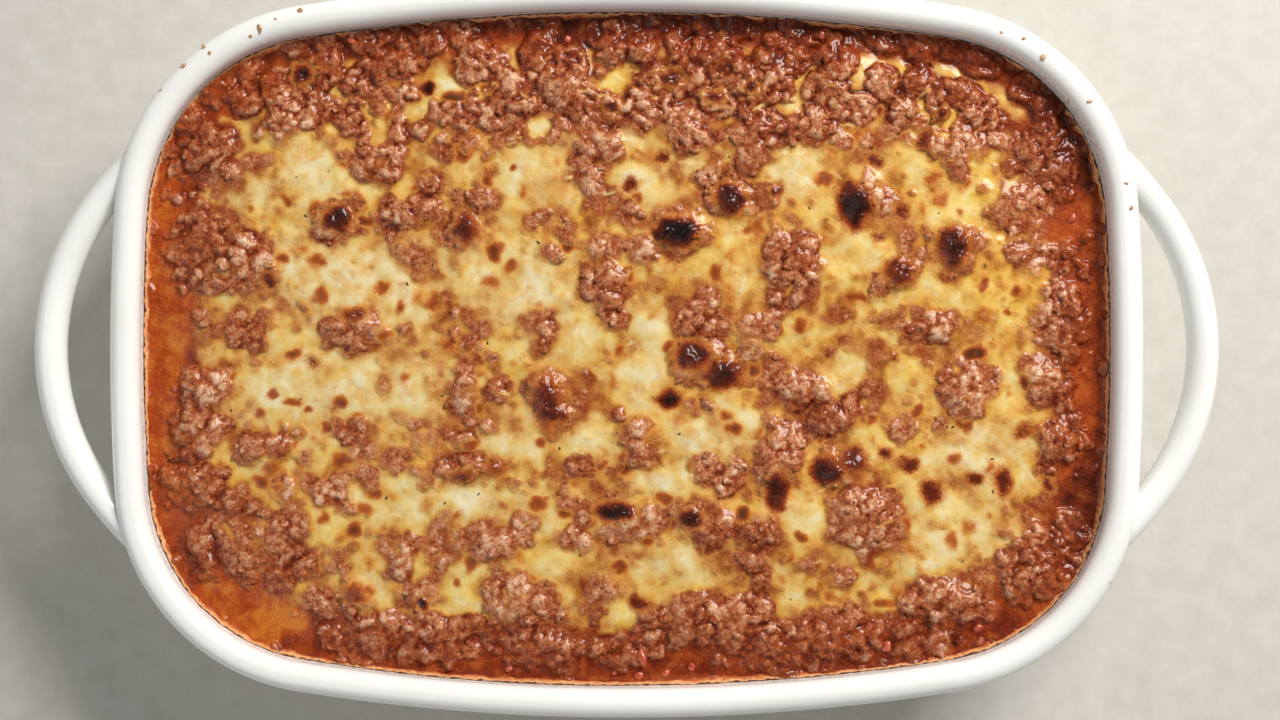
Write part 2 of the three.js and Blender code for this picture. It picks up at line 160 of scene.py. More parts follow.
# Small clumps between them, that the solid leaves out
SMALL_CLUMPS = [
    (-125, 64, 5, 4, 0), (-131, 87, 5, 4, 0), (-91, 93, 8, 7, 0), (-95, 75, 5, 3, 0),
    (-66, 57, 4, 4, 0), (-75, 32, 4, 4, 0), (-146, 44, 6, 5, 0), (-130, 5, 9, 6, 0),
    (-50, 50, 9, 4, 0), (-28, 44, 6, 4, 0), (-26, 31, 3, 4, 0), (-12, 37, 4, 5, 0),
    (5, 32, 3, 4, 0), (0, 46, 4, 4, 0), (26, 11, 7, 5, 0), (-27, 8, 6, 5, 0),
    (55, 100, 7, 6, 0), (65, 87, 6, 5, 0), (92, 87, 6, 5, 0), (121, 68, 4, 4, 0),
    (112, 58, 4, 3, 0), (129, 43, 4, 4, 0), (136, 32, 6, 6, 0), (86, 8, 6, 5, 0),
    (145, 53, 6, 6, 0), (-110, -46, 9, 5, 0), (-136, -55, 5, 6, 0), (-128, -76, 5, 4, 0),
    (-107, -84, 5, 4, 0), (-114, -67, 6, 11, 0), (-98, -50, 6, 4, 0), (-85, -13, 4, 3, 0),
    (-77, -23, 3, 3, 0), (-92, -28, 5, 4, 0), (-78, -38, 5, 4, 0), (-64, -64, 4, 3, 0),
    (-71, -84, 8, 4, 0), (-42, -13, 4, 4, 0), (-52, -27, 7, 5, 0), (-22, -46, 4, 4, 0),
    (-16, -38, 4, 2, 0), (-35, -61, 5, 4, 0), (-17, -65, 5, 4, 0), (-18, -54, 4, 4, 0),
    (32, -42, 8, 6, 0), (42, -74, 6, 6, 0), (-7, -80, 5, 4, 0), (14, -95, 9, 6, 0),
    (-3, -103, 8, 5, 0), (-54, -96, 7, 6, 0), (-97, -97, 7, 5, 0), (93, -27, 4, 3, 0),
    (100, -99, 9, 5, 0), (147, 32, 8, 5, 0), (128, 82, 10, 8, 0), (100, 92, 8, 6, 0),
    (0, 84, 8, 7, 0), (-75, 78, 6, 6, 0), (30, 60, 6, 5, 0), (68, 73, 6, 5, 0),
]

# Pools of melted cheese: centre x, centre y, half length, half width, paleness 0 to 1
CHEESE_POOLS = [
    (-128, 52, 8, 6, 1.0), (-107, 58, 14, 11, 0.8), (-95, 22, 30, 15, 1.0),
    (-100, -18, 30, 14, 0.9), (-70, -15, 14, 13, 0.9), (-76, 89, 9, 4, 0.0),
    (-82, 77, 6, 5, 0.3), (-100, 75, 6, 5, 0.5), (-60, 85, 6, 4, 0.5), (-30, 59, 15, 9, 0.9),
    (-32, 20, 15, 13, 1.0), (-52, 25, 10, 9, 0.9), (-7, 91, 4, 5, 0.0), (-30, 76, 6, 4, 0.9),
    (-45, 84, 5, 4, 0.2), (-4, 73, 6, 4, 0.9), (6, 56, 9, 6, 0.7), (25, 65, 8, 5, 0.9),
    (30, 32, 8, 8, 0.4), (55, 62, 10, 9, 0.8), (60, 84, 8, 3, 0.4), (110, 78, 8, 5, 0.0),
    (91, 93, 7, 4, 0.0), (66, 52, 11, 10, 0.4), (95, 65, 6, 5, 0.4), (106, 48, 11, 7, 0.3),
    (119, 60, 7, 6, 0.3), (78, 30, 9, 10, 0.5), (130, 22, 12, 9, 0.0), (97, 17, 7, 6, 0.4),
    (-60, -51, 36, 7, 0.8), (-90, -78, 9, 8, 0.6), (-54, -75, 8, 6, 0.5),
    (-104, -60, 8, 6, 0.3), (-38, -29, 10, 8, 0.9), (-12, -32, 9, 7, 0.8),
    (6, -9, 10, 8, 0.9), (31, -30, 13, 8, 1.0), (18, -42, 9, 6, 0.8), (16, -72, 16, 7, 0.8),
    (-1, -93, 4, 5, 0.1), (-56, -86, 6, 8, 0.2), (-26, -72, 8, 4, 0.5), (53, -80, 8, 6, 0.6),
    (52, -53, 8, 4, 0.8), (118, -35, 14, 9, 1.0), (76, -8, 7, 8, 0.8), (126, -20, 8, 6, 0.3),
    (62, -62, 7, 8, 0.7), (82, -31, 5, 5, 0.4), (112, -62, 18, 12, 0.8), (99, -73, 9, 7, 0.7),
    (85, -86, 6, 3, 0.1), (8, 8, 9, 8, 0.8), (-116, -6, 11, 9, 0.7), (-12, 2, 10, 8, 0.6),
    (98, -10, 7, 6, 0.4), (36, 22, 8, 6, 0.6), (-120, 68, 6, 4, 0.2), (127, -87, 6, 4, 0.0),
]

# Burnt blisters: centre x, centre y, half length, half width, how black 0 to 1
BLISTERS = [
    (17, 39.5, 7, 4.6, 1.0), (35, 51, 4.6, 4.6, 0.75), (-109.6, 93, 3.4, 3.2, 0.8),
    (-68, 88, 2.2, 2.1, 0.9), (-98, 44, 4.6, 3.8, 0.8), (-54.6, 41, 3.4, 5.4, 0.65),
    (-92.5, 11.4, 5.2, 3.4, 0.5), (-105, -4.5, 3.2, 2.4, 0.45), (-5, 81, 2.8, 2.6, 0.6),
    (1.5, 55, 2.9, 2.6, 0.55), (12, 65, 2.5, 2.3, 0.6), (30, 65, 3, 2.6, 0.4),
    (-45, 60, 2.6, 2.4, 0.4), (15, 91, 4, 3, 0.6), (30, 86, 4, 2.2, 0.6),
    (43, 89, 2.6, 1.8, 0.7), (51, 52, 2, 1.9, 0.6), (107, 79, 2, 2, 0.8), (84, 64, 3, 2.6, 0.6),
    (101, 70, 2.5, 4, 0.55), (77, 49, 5, 7.4, 0.85), (85, 38, 3, 2.8, 0.5), (94, 46, 2.6, 4, 0.5),
    (110, 34, 5.8, 6.6, 0.8), (92, 25, 5.6, 4.8, 0.6), (-56, -43, 4, 2.1, 0.5),
    (-44, -40, 4.6, 4, 0.4), (-26, -18, 6, 8, 0.6), (14, -17, 4.5, 2.6, 0.9),
    (-4, -55, 5.5, 3, 0.95), (21, -57, 4, 3, 0.75), (51, -48, 3.4, 6, 0.75),
    (4, -86, 3.4, 3, 0.6), (-69.5, -86, 1.7, 1.6, 1.0), (68, -41, 5, 4.6, 0.75),
    (77, -38, 4, 5, 0.6), (87, -35, 2.5, 2.3, 0.6), (95, -39, 3.5, 2.1, 0.6),
    (103, -48, 4, 4.3, 0.6), (127, -45, 3.4, 4.4, 0.6), (118, -44, 3, 2.4, 0.6),
    (143, -47, 2.1, 2, 0.7), (135, -28, 3.8, 3.6, 0.45), (90, -3, 3, 2.8, 0.4),
    (-120, 23.5, 3, 3, 0.6), (22, -2, 6, 4.6, 0.7), (33, -9, 6.6, 5, 0.75),
]

# Toasted spots on the cheese: centre x, centre y, half length, half width
TOAST_SPOTS = [
    (-65, 16, 4, 3), (-76, 13.5, 2.5, 2), (-121, -15, 2.4, 2), (-113, -17, 2.6, 2),
    (-108, -20, 2.2, 2), (-102, -27, 3, 2), (-96, -38.5, 3.4, 2.2), (78, 17, 5, 2.6),
    (59, 7, 3.2, 3), (67, 58, 3.2, 3), (120, 22, 2.6, 2.6), (128, 13, 2.4, 2),
    (30, 25, 3.2, 3), (-38, 61, 2.4, 2), (-91, -83, 5, 4), (-83, 20, 3, 2.5),
    (-104, 29, 4, 2.5), (-60, 2, 4, 3), (-86, -50, 3, 2.4), (-30, -52, 3, 2.2),
]

# Loose crumbs on the mince: how many, smallest radius, largest radius
CRUMB_SIZES = [(140, 2.0, 3.0), (480, 1.2, 2.0), (700, 0.7, 1.2)]

# Open patches of sauce by the wall: centre x, centre y, half length, half width, brightness. The
# brightness is partly the sauce's own colour and partly painted: dark along the top and right
# walls as painted shade, light at the left as painted light.
SAUCE_PATCHES = [
    (-142, 92, 20, 13, 0.62), (-132, -88, 19, 13, 0.82), (-119, -91, 9, 6, 1.1),
    (-156, 2, 7, 60, 0.8), (155, -14, 6, 13, 0.6), (147, 47, 12, 10, 0.65),
    (150, 74, 10, 24, 0.1), (10, -110, 110, 5, 0.36), (120, -98, 12, 6, 0.25),
    (90, -105, 10, 5, 0.15), (0, 110, 110, 5, 0.1), (157, -60, 6, 24, 0.08),
]

# Drops of sauce dried on the rim: x, y, radius
RIM_SPATTERS = [
    (-109, 112.6, 1.2), (-122.5, 106.5, 1.7), (-125.5, 104.2, 0.9), (-141, 100.5, 1.3),
    (-139, 98.6, 0.8), (-147.5, 94.4, 1.2), (-155.5, 86.2, 0.7), (132.5, 103.4, 0.9),
    (139, 97.2, 1.2), (125, 105.4, 0.7), (154.5, 82.4, 1.1), (166.5, 55, 0.9),
    (168.2, 47, 1.0), (161.5, -78, 0.6), (-117, 109.8, 0.6),
]

# Pieces of tomato and other soft bits in the sauce: x, y, radius
TOMATO_BITS = [
    (5, -104.5, 3.0), (4, -111, 1.8), (13, -110.4, 1.9), (-4, -109.6, 1.4), (22, -108, 1.7),
    (-40, -108.4, 1.6), (88, -101, 2.0), (119, -95, 1.8), (-93, 104, 1.6), (151, 44, 1.9),
    (-150, 52, 1.5), (-153, -14, 1.5), (66, 106, 1.6), (-20, 105, 1.5),
]


def linear(red, green, blue):
    """A colour of the photograph, 0 to 255, as the linear colour that shaders take."""
    values = []
    for channel in (red, green, blue):
        share = channel / 255
        values.append(share / 12.92 if share <= 0.04045 else ((share + 0.055) / 1.055) ** 2.4)
    return (*values, 1.0)


def smoothstep(value, low, high):
    share = np.clip((value - low) / (high - low), 0, 1)
    return share * share * (3 - 2 * share)


def turned(x, y, angle):
    """Points turned about the origin, by an angle in radians."""
    cosine, sine = math.cos(angle), math.sin(angle)
    return x * cosine - y * sine, x * sine + y * cosine


def halved(quads):
    """Quads as two triangles each."""
    return np.concatenate([quads[:, [0, 1, 2]], quads[:, [0, 2, 3]]])


def compacted(points, faces):
    """The faces with only the points that they use."""
    used = np.unique(faces)
    index = np.full(len(points), -1)
    index[used] = np.arange(len(used))
    return points[used], index[faces]


def lattice(i, j, k=0):
    """A fixed value from -1 to 1 for each point of a whole-number lattice."""
    mixed = np.asarray(i).astype(np.int64).astype(np.uint32) * np.uint32(374761393)
    mixed = mixed + np.asarray(j).astype(np.int64).astype(np.uint32) * np.uint32(668265263)
    mixed = mixed + np.asarray(k).astype(np.int64).astype(np.uint32) * np.uint32(2246822519)
    mixed = (mixed ^ (mixed >> np.uint32(13))) * np.uint32(1274126177)
    return (mixed ^ (mixed >> np.uint32(16))) / 2147483648.0 - 1


def noise(x, y, wavelength, layer=0):
    """Smooth noise from -1 to 1 whose bumps are about one wavelength apart."""
    u, v = x / wavelength, y / wavelength
    i, j = np.floor(u), np.floor(v)
    fu, fv = smoothstep(u - i, 0, 1), smoothstep(v - j, 0, 1)
    near = lattice(i, j, layer) * (1 - fu) + lattice(i + 1, j, layer) * fu
    far = lattice(i, j + 1, layer) * (1 - fu) + lattice(i + 1, j + 1, layer) * fu
    return near * (1 - fv) + far * fv


def rough_noise(x, y, wavelength, layer=0, octaves=3):
    """Noise with finer bumps added, each octave turned so that no grid shows."""
    total = np.zeros(np.broadcast(x, y).shape)
    strength, turn = 1.0, 0.7
    for octave in range(octaves):
        u, v = turned(x, y, turn * (octave + 1))
        total += strength * noise(u, v, wavelength / 2 ** octave, layer + 7 * octave)
        strength *= 0.5
    return total / 1.75


def noise_in_space(points, wavelength, layer=0):
    """The same smooth noise for points in space."""
    cell = points / wavelength
    base = np.floor(cell)
    share = smoothstep(cell - base, 0, 1)
    total = np.zeros(len(points))
    for corner in range(8):
        step = np.array([corner & 1, corner >> 1 & 1, corner >> 2 & 1])
        weight = np.prod(np.where(step, share, 1 - share), axis=1)
        at = base + step
        total += weight * lattice(at[:, 0] + 57 * layer, at[:, 1], at[:, 2])
    return total


def corner_centre():
    """Where the corner arc's centre lies: it touches both side arcs from inside."""
    long_y = RIM_HALF_WIDTH - LONG_SIDE_RADIUS
    short_x = RIM_HALF_LENGTH - SHORT_SIDE_RADIUS
    long_reach = LONG_SIDE_RADIUS - CORNER_RADIUS
    short_reach = SHORT_SIDE_RADIUS - CORNER_RADIUS
    distance = math.hypot(short_x, long_y)
    along = (long_reach ** 2 - short_reach ** 2 + distance ** 2) / (2 * distance)
    across = math.sqrt(long_reach ** 2 - along ** 2)
    ux, uy = short_x / distance, -long_y / distance
    first = (ux * along - uy * across, long_y + uy * along + ux * across)
    second = (ux * along + uy * across, long_y + uy * along - ux * across)
    return max(first, second, key=sum)


CORNER_X, CORNER_Y = corner_centre()
LONG_CENTRE_Y = RIM_HALF_WIDTH - LONG_SIDE_RADIUS
SHORT_CENTRE_X = RIM_HALF_LENGTH - SHORT_SIDE_RADIUS
SHORT_ARC_END = math.atan2(CORNER_Y, CORNER_X - SHORT_CENTRE_X)
LONG_ARC_START = math.atan2(CORNER_Y - LONG_CENTRE_Y, CORNER_X)


def depth_inside(x, y):
    """How far points lie inside the outer rim's outline."""
    px, py = np.abs(x), np.abs(y)
    from_short = np.arctan2(py, px - SHORT_CENTRE_X)
    from_long = np.arctan2(py - LONG_CENTRE_Y, px)
    depth = CORNER_RADIUS - np.hypot(px - CORNER_X, py - CORNER_Y)
    long_depth = LONG_SIDE_RADIUS - np.hypot(px, py - LONG_CENTRE_Y)
    short_depth = SHORT_SIDE_RADIUS - np.hypot(px - SHORT_CENTRE_X, py)
    depth = np.where(from_long > LONG_ARC_START, long_depth, depth)
    return np.where(from_short < SHORT_ARC_END, short_depth, depth)


def drawn_to_depth(x, y, limit, side):
    """The points on the wrong side of a depth, moved to it; side 1 keeps them inside."""
    x, y = x.copy(), y.copy()
    step = 0.01
    for _ in range(4):
        depth = depth_inside(x, y)
        slope_x = (depth_inside(x + step, y) - depth) / step
        slope_y = (depth_inside(x, y + step) - depth) / step
        short = side * np.maximum(side * (limit - depth), 0)
        x += slope_x * short
        y += slope_y * short
    return x, y


def outline(offset, count):
    """Points round the outline moved out by an offset, evenly spaced on the rim."""
    arcs = [
        (SHORT_CENTRE_X, 0, SHORT_SIDE_RADIUS, 0, SHORT_ARC_END),
        (CORNER_X, CORNER_Y, CORNER_RADIUS, SHORT_ARC_END, LONG_ARC_START),
        (0, LONG_CENTRE_Y, LONG_SIDE_RADIUS, LONG_ARC_START, math.pi / 2),
    ]
    quarter = []
    total = sum(radius * (end - start) for _, _, radius, start, end in arcs)
    for cx, cy, radius, start, end in arcs:
        steps = max(2, round(count / 4 * radius * (end - start) / total))
        angles = np.linspace(start, end, steps, endpoint=False)
        reach = radius + offset
        quarter.append(np.stack([cx + reach * np.cos(angles), cy + reach * np.sin(angles)], 1))
    quarter = np.concatenate(quarter)
    end = np.array([[0, RIM_HALF_WIDTH + offset]])
    back = np.concatenate([end, quarter[:0:-1]])
    return np.concatenate([
        quarter,
        back * (-1, 1),
        quarter * (-1, -1),
        back * (1, -1),
    ])


def reach_of(x, y, spot, turn=0.0):
    """How far points are inside an oval spot: 0 at its middle, 1 at its edge."""
    along, across = turned(x - spot[0], y - spot[1], -math.radians(turn))
    return np.hypot(along / spot[2], across / spot[3])


def bed_height(x, y):
    """The height of the food between clumps, as in the solid."""
    depth = depth_inside(x, y) - MOUTH_DEPTH
    crown = FOOD_CROWN * smoothstep(depth, 0, CROWN_REACH)
    waves = 0.5 * noise(x, y, 30) + 0.3 * noise(x, y, 14)
    return FOOD_EDGE_Z + crown + waves


def warped(x, y, strength, wavelength, layer):
    """Points pushed about by noise, so that what is read there gets a ragged outline."""
    return (
        x + strength * rough_noise(x, y, wavelength, layer),
        y + strength * rough_noise(x, y, wavelength, layer + 50),
    )


def domes(x, y, spacing, turn, layer, wanted=None):
    """Rounded lumps about one spacing apart: height 0 to 1, each lump's own value, and share.

    The share falls off softly from 1 at a lump's middle. Where wanted is given, it says how
    much of a place is to be covered: lumps are left out, and those at the fringe are small.
    """
    angle = math.radians(turn)
    u, v = turned(x / spacing, y / spacing, angle)
    i, j = np.floor(u), np.floor(v)
    best, value, share = np.zeros(x.shape), np.zeros(x.shape), np.zeros(x.shape)
    for di in (-1, 0, 1):
        for dj in (-1, 0, 1):
            ci, cj = i + di, j + dj
            middle_u = ci + 0.5 + 0.42 * lattice(ci, cj, layer)
            middle_v = cj + 0.5 + 0.42 * lattice(ci, cj, layer + 1)
            size = 0.72 + 0.22 * lattice(ci, cj, layer + 2)
            if wanted is not None:
                at_x, at_y = turned(middle_u * spacing, middle_v * spacing, -angle)
                spare = wanted(at_x, at_y) - 0.5 - 0.5 * lattice(ci, cj, layer + 5)
                size *= np.where(spare > 0, 0.5 + 0.5 * smoothstep(spare, 0, 0.35), 0.001)
            square = 1 - ((u - middle_u) ** 2 + (v - middle_v) ** 2) / size ** 2
            dome = np.sqrt(np.maximum(square, 0)) * (0.6 + 0.4 * size)
            dome += 0.18 * lattice(ci, cj, layer + 3)
            higher = (square > 0) & (dome > best)
            best = np.where(higher, dome, best)
            value = np.where(higher, lattice(ci, cj, layer + 4), value)
            share = np.maximum(share, square)
    return best, value, share


class Field:
    """A grid of values over the food, read at any point between its cells."""

    def __init__(self, cell):
        self.cell = cell
        self.xs = np.arange(-168, 168 + cell, cell)
        self.ys = np.arange(-120, 120 + cell, cell)
        self.x, self.y = np.meshgrid(self.xs, self.ys)

    def read(self, values, x, y):
        u = np.clip((x - self.xs[0]) / self.cell, 0, len(self.xs) - 1.001)
        v = np.clip((y - self.ys[0]) / self.cell, 0, len(self.ys) - 1.001)
        i, j = np.floor(u).astype(int), np.floor(v).astype(int)
        fu, fv = u - i, v - j
        near = values[j, i] * (1 - fu) + values[j, i + 1] * fu
        far = values[j + 1, i] * (1 - fu) + values[j + 1, i + 1] * fu
        return near * (1 - fv) + far * fv


def blur(values, cell, spread):
    """Values smoothed over a distance, in the grid's own millimetres."""
    reach = max(1, int(round(2.5 * spread / cell)))
    offsets = np.arange(-reach, reach + 1) * cell
    weights = np.exp(-0.5 * (offsets / spread) ** 2)
    weights /= weights.sum()
    for axis in (0, 1):
        padded = np.pad(values, [(reach, reach) if axis == a else (0, 0) for a in (0, 1)], "edge")
        size = values.shape[axis]
        values = sum(
            weight * np.take(padded, range(n, n + size), axis) for n, weight in enumerate(weights)
        )
    return values


def layout_layers(field):
    """Where the mince, the cheese, the open sauce and the burnt spots lie over the grid."""
    wide_x, wide_y = warped(field.x, field.y, 4.5, 16, 3)
    x, y = warped(wide_x, wide_y, 2.4, 6, 5)
    layers = {"depth": depth_inside(field.x, field.y) - MOUTH_DEPTH}
    clump = np.zeros(x.shape)
    for spot in MINCE_CLUMPS + SMALL_CLUMPS:
        clump = np.maximum(clump, 1 - smoothstep(reach_of(x, y, spot, spot[4]), 0.6, 1.35))
    layers["clump"] = clump
    pool, layers["pale"] = blended_spots(x, y, CHEESE_POOLS, 0.15, 1.6, 0.45)
    layers["pool"] = pool
    layers["sauce"], layers["bright"] = blended_spots(x, y, SAUCE_PATCHES, 0.6, 1.3, 0.45)
    char = np.zeros(x.shape)
    near_x, near_y = warped(field.x, field.y, 2.2, 4.5, 8)
    ragged = 0.4 * rough_noise(field.x, field.y, 2.4, 9)
    for spot in BLISTERS:
        reach = reach_of(near_x, near_y, spot) + ragged
        char = np.maximum(char, spot[4] * (1 - smoothstep(reach, 0.3, 1.6)))
    layers["char"] = blur(char, FIELD_CELL, 0.6)
    toast = np.zeros(x.shape)
    for spot in TOAST_SPOTS:
        reach = reach_of(near_x, near_y, spot) + ragged
        toast = np.maximum(toast, 1 - smoothstep(reach, 0.1, 1.6))
    layers["toast_spots"] = toast
    return layers


def blended_spots(x, y, spots, inner, outer, plain_value):
    """How far oval spots cover each point, and the mean of their fifth value there."""
    cover_all = np.zeros(x.shape)
    value, weight = np.full(x.shape, 0.25 * plain_value), np.full(x.shape, 0.25)
    for spot in spots:
        cover = 1 - smoothstep(reach_of(x, y, spot), inner, outer)
        cover_all = np.maximum(cover_all, cover)
        value += cover * spot[4]
        weight += cover
    return cover_all, value / weight


def choose_crumbs(field, layers):
    """Places and sizes for the loose crumbs, the largest first, by drawing seeded darts."""
    wanted = layers["mince"] * smoothstep(layers["depth"], 3, 6) * (layers["cover"] < 0.15)
    chance = (wanted / wanted.sum()).ravel()
    taken = np.zeros(field.x.shape, bool)
    crumbs = []
    for count, smallest, largest in CRUMB_SIZES:
        draws = rng.choice(chance.size, size=count * 8, p=chance)
        radii = largest - (largest - smallest) * np.sqrt(rng.random(count * 8))
        placed = 0
        for cell_index, radius in zip(draws, radii):
            j, i = divmod(int(cell_index), field.x.shape[1])
            if placed >= count:
                break
            if taken[j, i]:
                continue
            reach = 1.9 * radius
            half = int(reach / field.cell) + 1
            rows, columns = slice(j - half, j + half + 1), slice(i - half, i + half + 1)
            near = np.hypot(
                field.x[rows, columns] - field.x[j, i], field.y[rows, columns] - field.y[j, i]
            )
            taken[rows, columns] |= near < reach
            crumbs.append((field.x[j, i], field.y[j, i], radius))
            placed += 1
    return np.array(crumbs)


def soft_max(first, second, width):
    """The higher of two surfaces, with the crease between them rounded."""
    high, low = np.maximum(first, second), np.minimum(first, second)
    return high + width * np.log1p(np.exp((low - high) / width))


def icosphere(subdivisions):
    """The points and triangles of a unit icosphere."""
    ball = bmesh.new()
    bmesh.ops.create_icosphere(ball, subdivisions=subdivisions, radius=1)
    points = np.array([v.co[:] for v in ball.verts])
    faces = np.array([[v.index for v in f.verts] for f in ball.faces])
    ball.free()
    return points, faces


def crumb_shapes(subdivisions, count, roughness=1.0, cut=-0.45):
    """Crumbs of unit size: puffed lumps with creases between, open where they are buried."""
    points, faces = icosphere(subdivisions)
    shapes = []
    for n in range(count):
        swell = 0.85 + 0.3 * roughness * noise_in_space(points + 3.1 * n, 1.1, n)
        swell += 0.55 * roughness * (np.abs(noise_in_space(points - 1.7 * n, 0.6, n + 40)) - 0.3)
        swell += 0.2 * roughness * (np.abs(noise_in_space(points + 2.3 * n, 0.28, n + 80)) - 0.3)
        shape = points * swell[:, None]
        kept = points[faces][:, :, 2].max(axis=1) > cut
        shapes.append(compacted(shape, faces[kept]))
    return shapes


def scatter(shapes, x, y, z, radius, flatness):
    """Copies of the shapes at true size, turned about, joined in one mesh."""
    all_points, all_faces = [], []
    start = 0
    for n in range(len(x)):
        points, faces = shapes[rng.integers(len(shapes))]
        spin = rng.uniform(0, 2 * math.pi)
        stretch = np.array([1.12, rng.uniform(0.58, 1.0), flatness]) * radius[n]
        sized = points * stretch
        tilt = rng.normal(0, 0.18, 2)
        leaning = sized[:, 2] + tilt[0] * sized[:, 0] + tilt[1] * sized[:, 1]
        placed = np.stack([*turned(sized[:, 0], sized[:, 1], spin), leaning], 1)
        all_points.append(placed + (x[n], y[n], z[n]))
        all_faces.append(faces + start)
        start += len(points)
    return np.concatenate(all_points), np.concatenate(all_faces)


def add_piece(name, points, faces, material, values=None, replaces=None):
    """A smooth mesh piece made from millimetre points, riding on the one body."""
    mesh = bpy.data.meshes.new(name)
    faces = np.asarray(faces, dtype=np.int32)
    mesh.vertices.add(len(points))
    mesh.vertices.foreach_set("co", (np.asarray(points) * MM).astype(np.float32).ravel())
    mesh.loops.add(faces.size)
    mesh.loops.foreach_set("vertex_index", faces.ravel())
    mesh.polygons.add(len(faces))
    corners = faces.shape[1]
    mesh.polygons.foreach_set("loop_start", np.arange(0, faces.size, corners, dtype=np.int32))
    mesh.update(calc_edges=True)
    mesh.validate()
    mesh.shade_smooth()
    for key, value in (values or {}).items():
        layer = mesh.attributes.new(key, "FLOAT", "POINT")
        layer.data.foreach_set("value", np.asarray(value, dtype=np.float32))
    piece = bpy.data.objects.new(name, mesh)
    bpy.context.collection.objects.link(piece)
    mesh.materials.append(material)
    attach(piece, "root")
    if replaces:
        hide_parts(replaces)
    print(name, "triangles", len(faces) * (corners - 2))
    return piece


class Shader:
    """A Principled material, built node by node."""

    def __init__(self, name, **sockets):
        self.material = bpy.data.materials.new(name)
        self.material.use_nodes = True
        self.tree = self.material.node_tree
        self.surface = self.tree.nodes["Principled BSDF"]
        for key, value in sockets.items():
            self.surface.inputs[key.replace("_", " ")].default_value = value
        self.place = self.tree.nodes.new("ShaderNodeTexCoord").outputs["Object"]

    def put(self, source, socket):
        if isinstance(source, (int, float, tuple)):
            socket.default_value = source
        else:
            self.tree.links.new(source, socket)

    def noise(self, wavelength, detail=2.0, roughness=0.5, distortion=0.0):
        node = self.tree.nodes.new("ShaderNodeTexNoise")
        node.inputs["Scale"].default_value = 1 / (wavelength * MM)
        node.inputs["Detail"].default_value = detail
        node.inputs["Roughness"].default_value = roughness
        node.inputs["Distortion"].default_value = distortion
        self.tree.links.new(self.place, node.inputs["Vector"])
        return node.outputs["Fac"]

    def attribute(self, name):
        node = self.tree.nodes.new("ShaderNodeAttribute")
        node.attribute_name = name
        return node.outputs["Fac"]

    def math(self, operation, first, second=0.0, clamp=False):
        node = self.tree.nodes.new("ShaderNodeMath")
        node.operation = operation
        node.use_clamp = clamp
        self.put(first, node.inputs[0])
        self.put(second, node.inputs[1])
        return node.outputs[0]

    def spread(self, source, low, high, to_low=0.0, to_high=1.0):
        node = self.tree.nodes.new("ShaderNodeMapRange")
        self.put(source, node.inputs["Value"])
        node.inputs["From Min"].default_value = low
        node.inputs["From Max"].default_value = high
        node.inputs["To Min"].default_value = to_low
        node.inputs["To Max"].default_value = to_high
        return node.outputs["Result"]

    def ramp(self, source, stops):
        """Colours by a value: each stop is its position and a colour of the photograph."""
        node = self.tree.nodes.new("ShaderNodeValToRGB")
        self.put(source, node.inputs["Fac"])
        elements = node.color_ramp.elements
        while len(elements) < len(stops):
            elements.new(0.5)
        for element, (position, *colour) in zip(elements, stops):
            element.position = position
            element.color = linear(*colour)
        return node.outputs["Color"]

    def mix(self, share, first, second, blend="MIX"):
        node = self.tree.nodes.new("ShaderNodeMix")
        node.data_type = "RGBA"
        node.blend_type = blend
        self.put(share, node.inputs[0])
        self.put(first, node.inputs[6])
        self.put(second, node.inputs[7])
        return node.outputs[2]

    def bump(self, height, depth, strength=1.0):
        node = self.tree.nodes.new("ShaderNodeBump")
        node.inputs["Distance"].default_value = depth * MM
        node.inputs["Strength"].default_value = strength
        self.put(height, node.inputs["Height"])
        if self.surface.inputs["Normal"].links:
            earlier = self.surface.inputs["Normal"].links[0].from_socket
            self.tree.links.new(earlier, node.inputs["Normal"])
        self.tree.links.new(node.outputs["Normal"], self.surface.inputs["Normal"])

    def connect(self, source, name):
        self.tree.links.new(source, self.surface.inputs[name])


CHARRED = [
    (0.0, 196, 112, 46), (0.3, 150, 66, 26), (0.55, 100, 35, 15),
    (0.8, 46, 16, 9), (1.0, 16, 9, 7),
]
# The lightest stop is the pinkish colour of painted highlights on the lumps' tops. The darkest
# stops are reached in painted shade, in creases and along the top and right walls, as well as in
# darker lumps.
MEAT_TONES = [
    (0.0, 82, 20, 1), (0.25, 122, 44, 12), (0.55, 165, 88, 48),
    (0.8, 200, 139, 99), (1.0, 224, 184, 152),
]
SAUCE_TONES = [
    (0.0, 66, 16, 3), (0.35, 124, 42, 11), (0.7, 172, 72, 20),
    (1.0, 202, 118, 36),
]
PALE_CHEESE = [
    (0.0, 152, 86, 44), (0.2, 184, 122, 70), (0.42, 204, 158, 98),
    (0.66, 218, 191, 130), (0.88, 223, 207, 162), (1.0, 225, 213, 179),
]
YELLOW_CHEESE = [
    (0.0, 152, 78, 24), (0.2, 188, 114, 38), (0.42, 209, 151, 58),
    (0.66, 222, 183, 88), (0.88, 226, 198, 112), (1.0, 227, 205, 130),
]
TOASTED = [
    (0.08, 214, 162, 76), (0.3, 196, 118, 44), (0.52, 160, 72, 26),
    (0.76, 106, 37, 14), (1.0, 60, 20, 9),
]


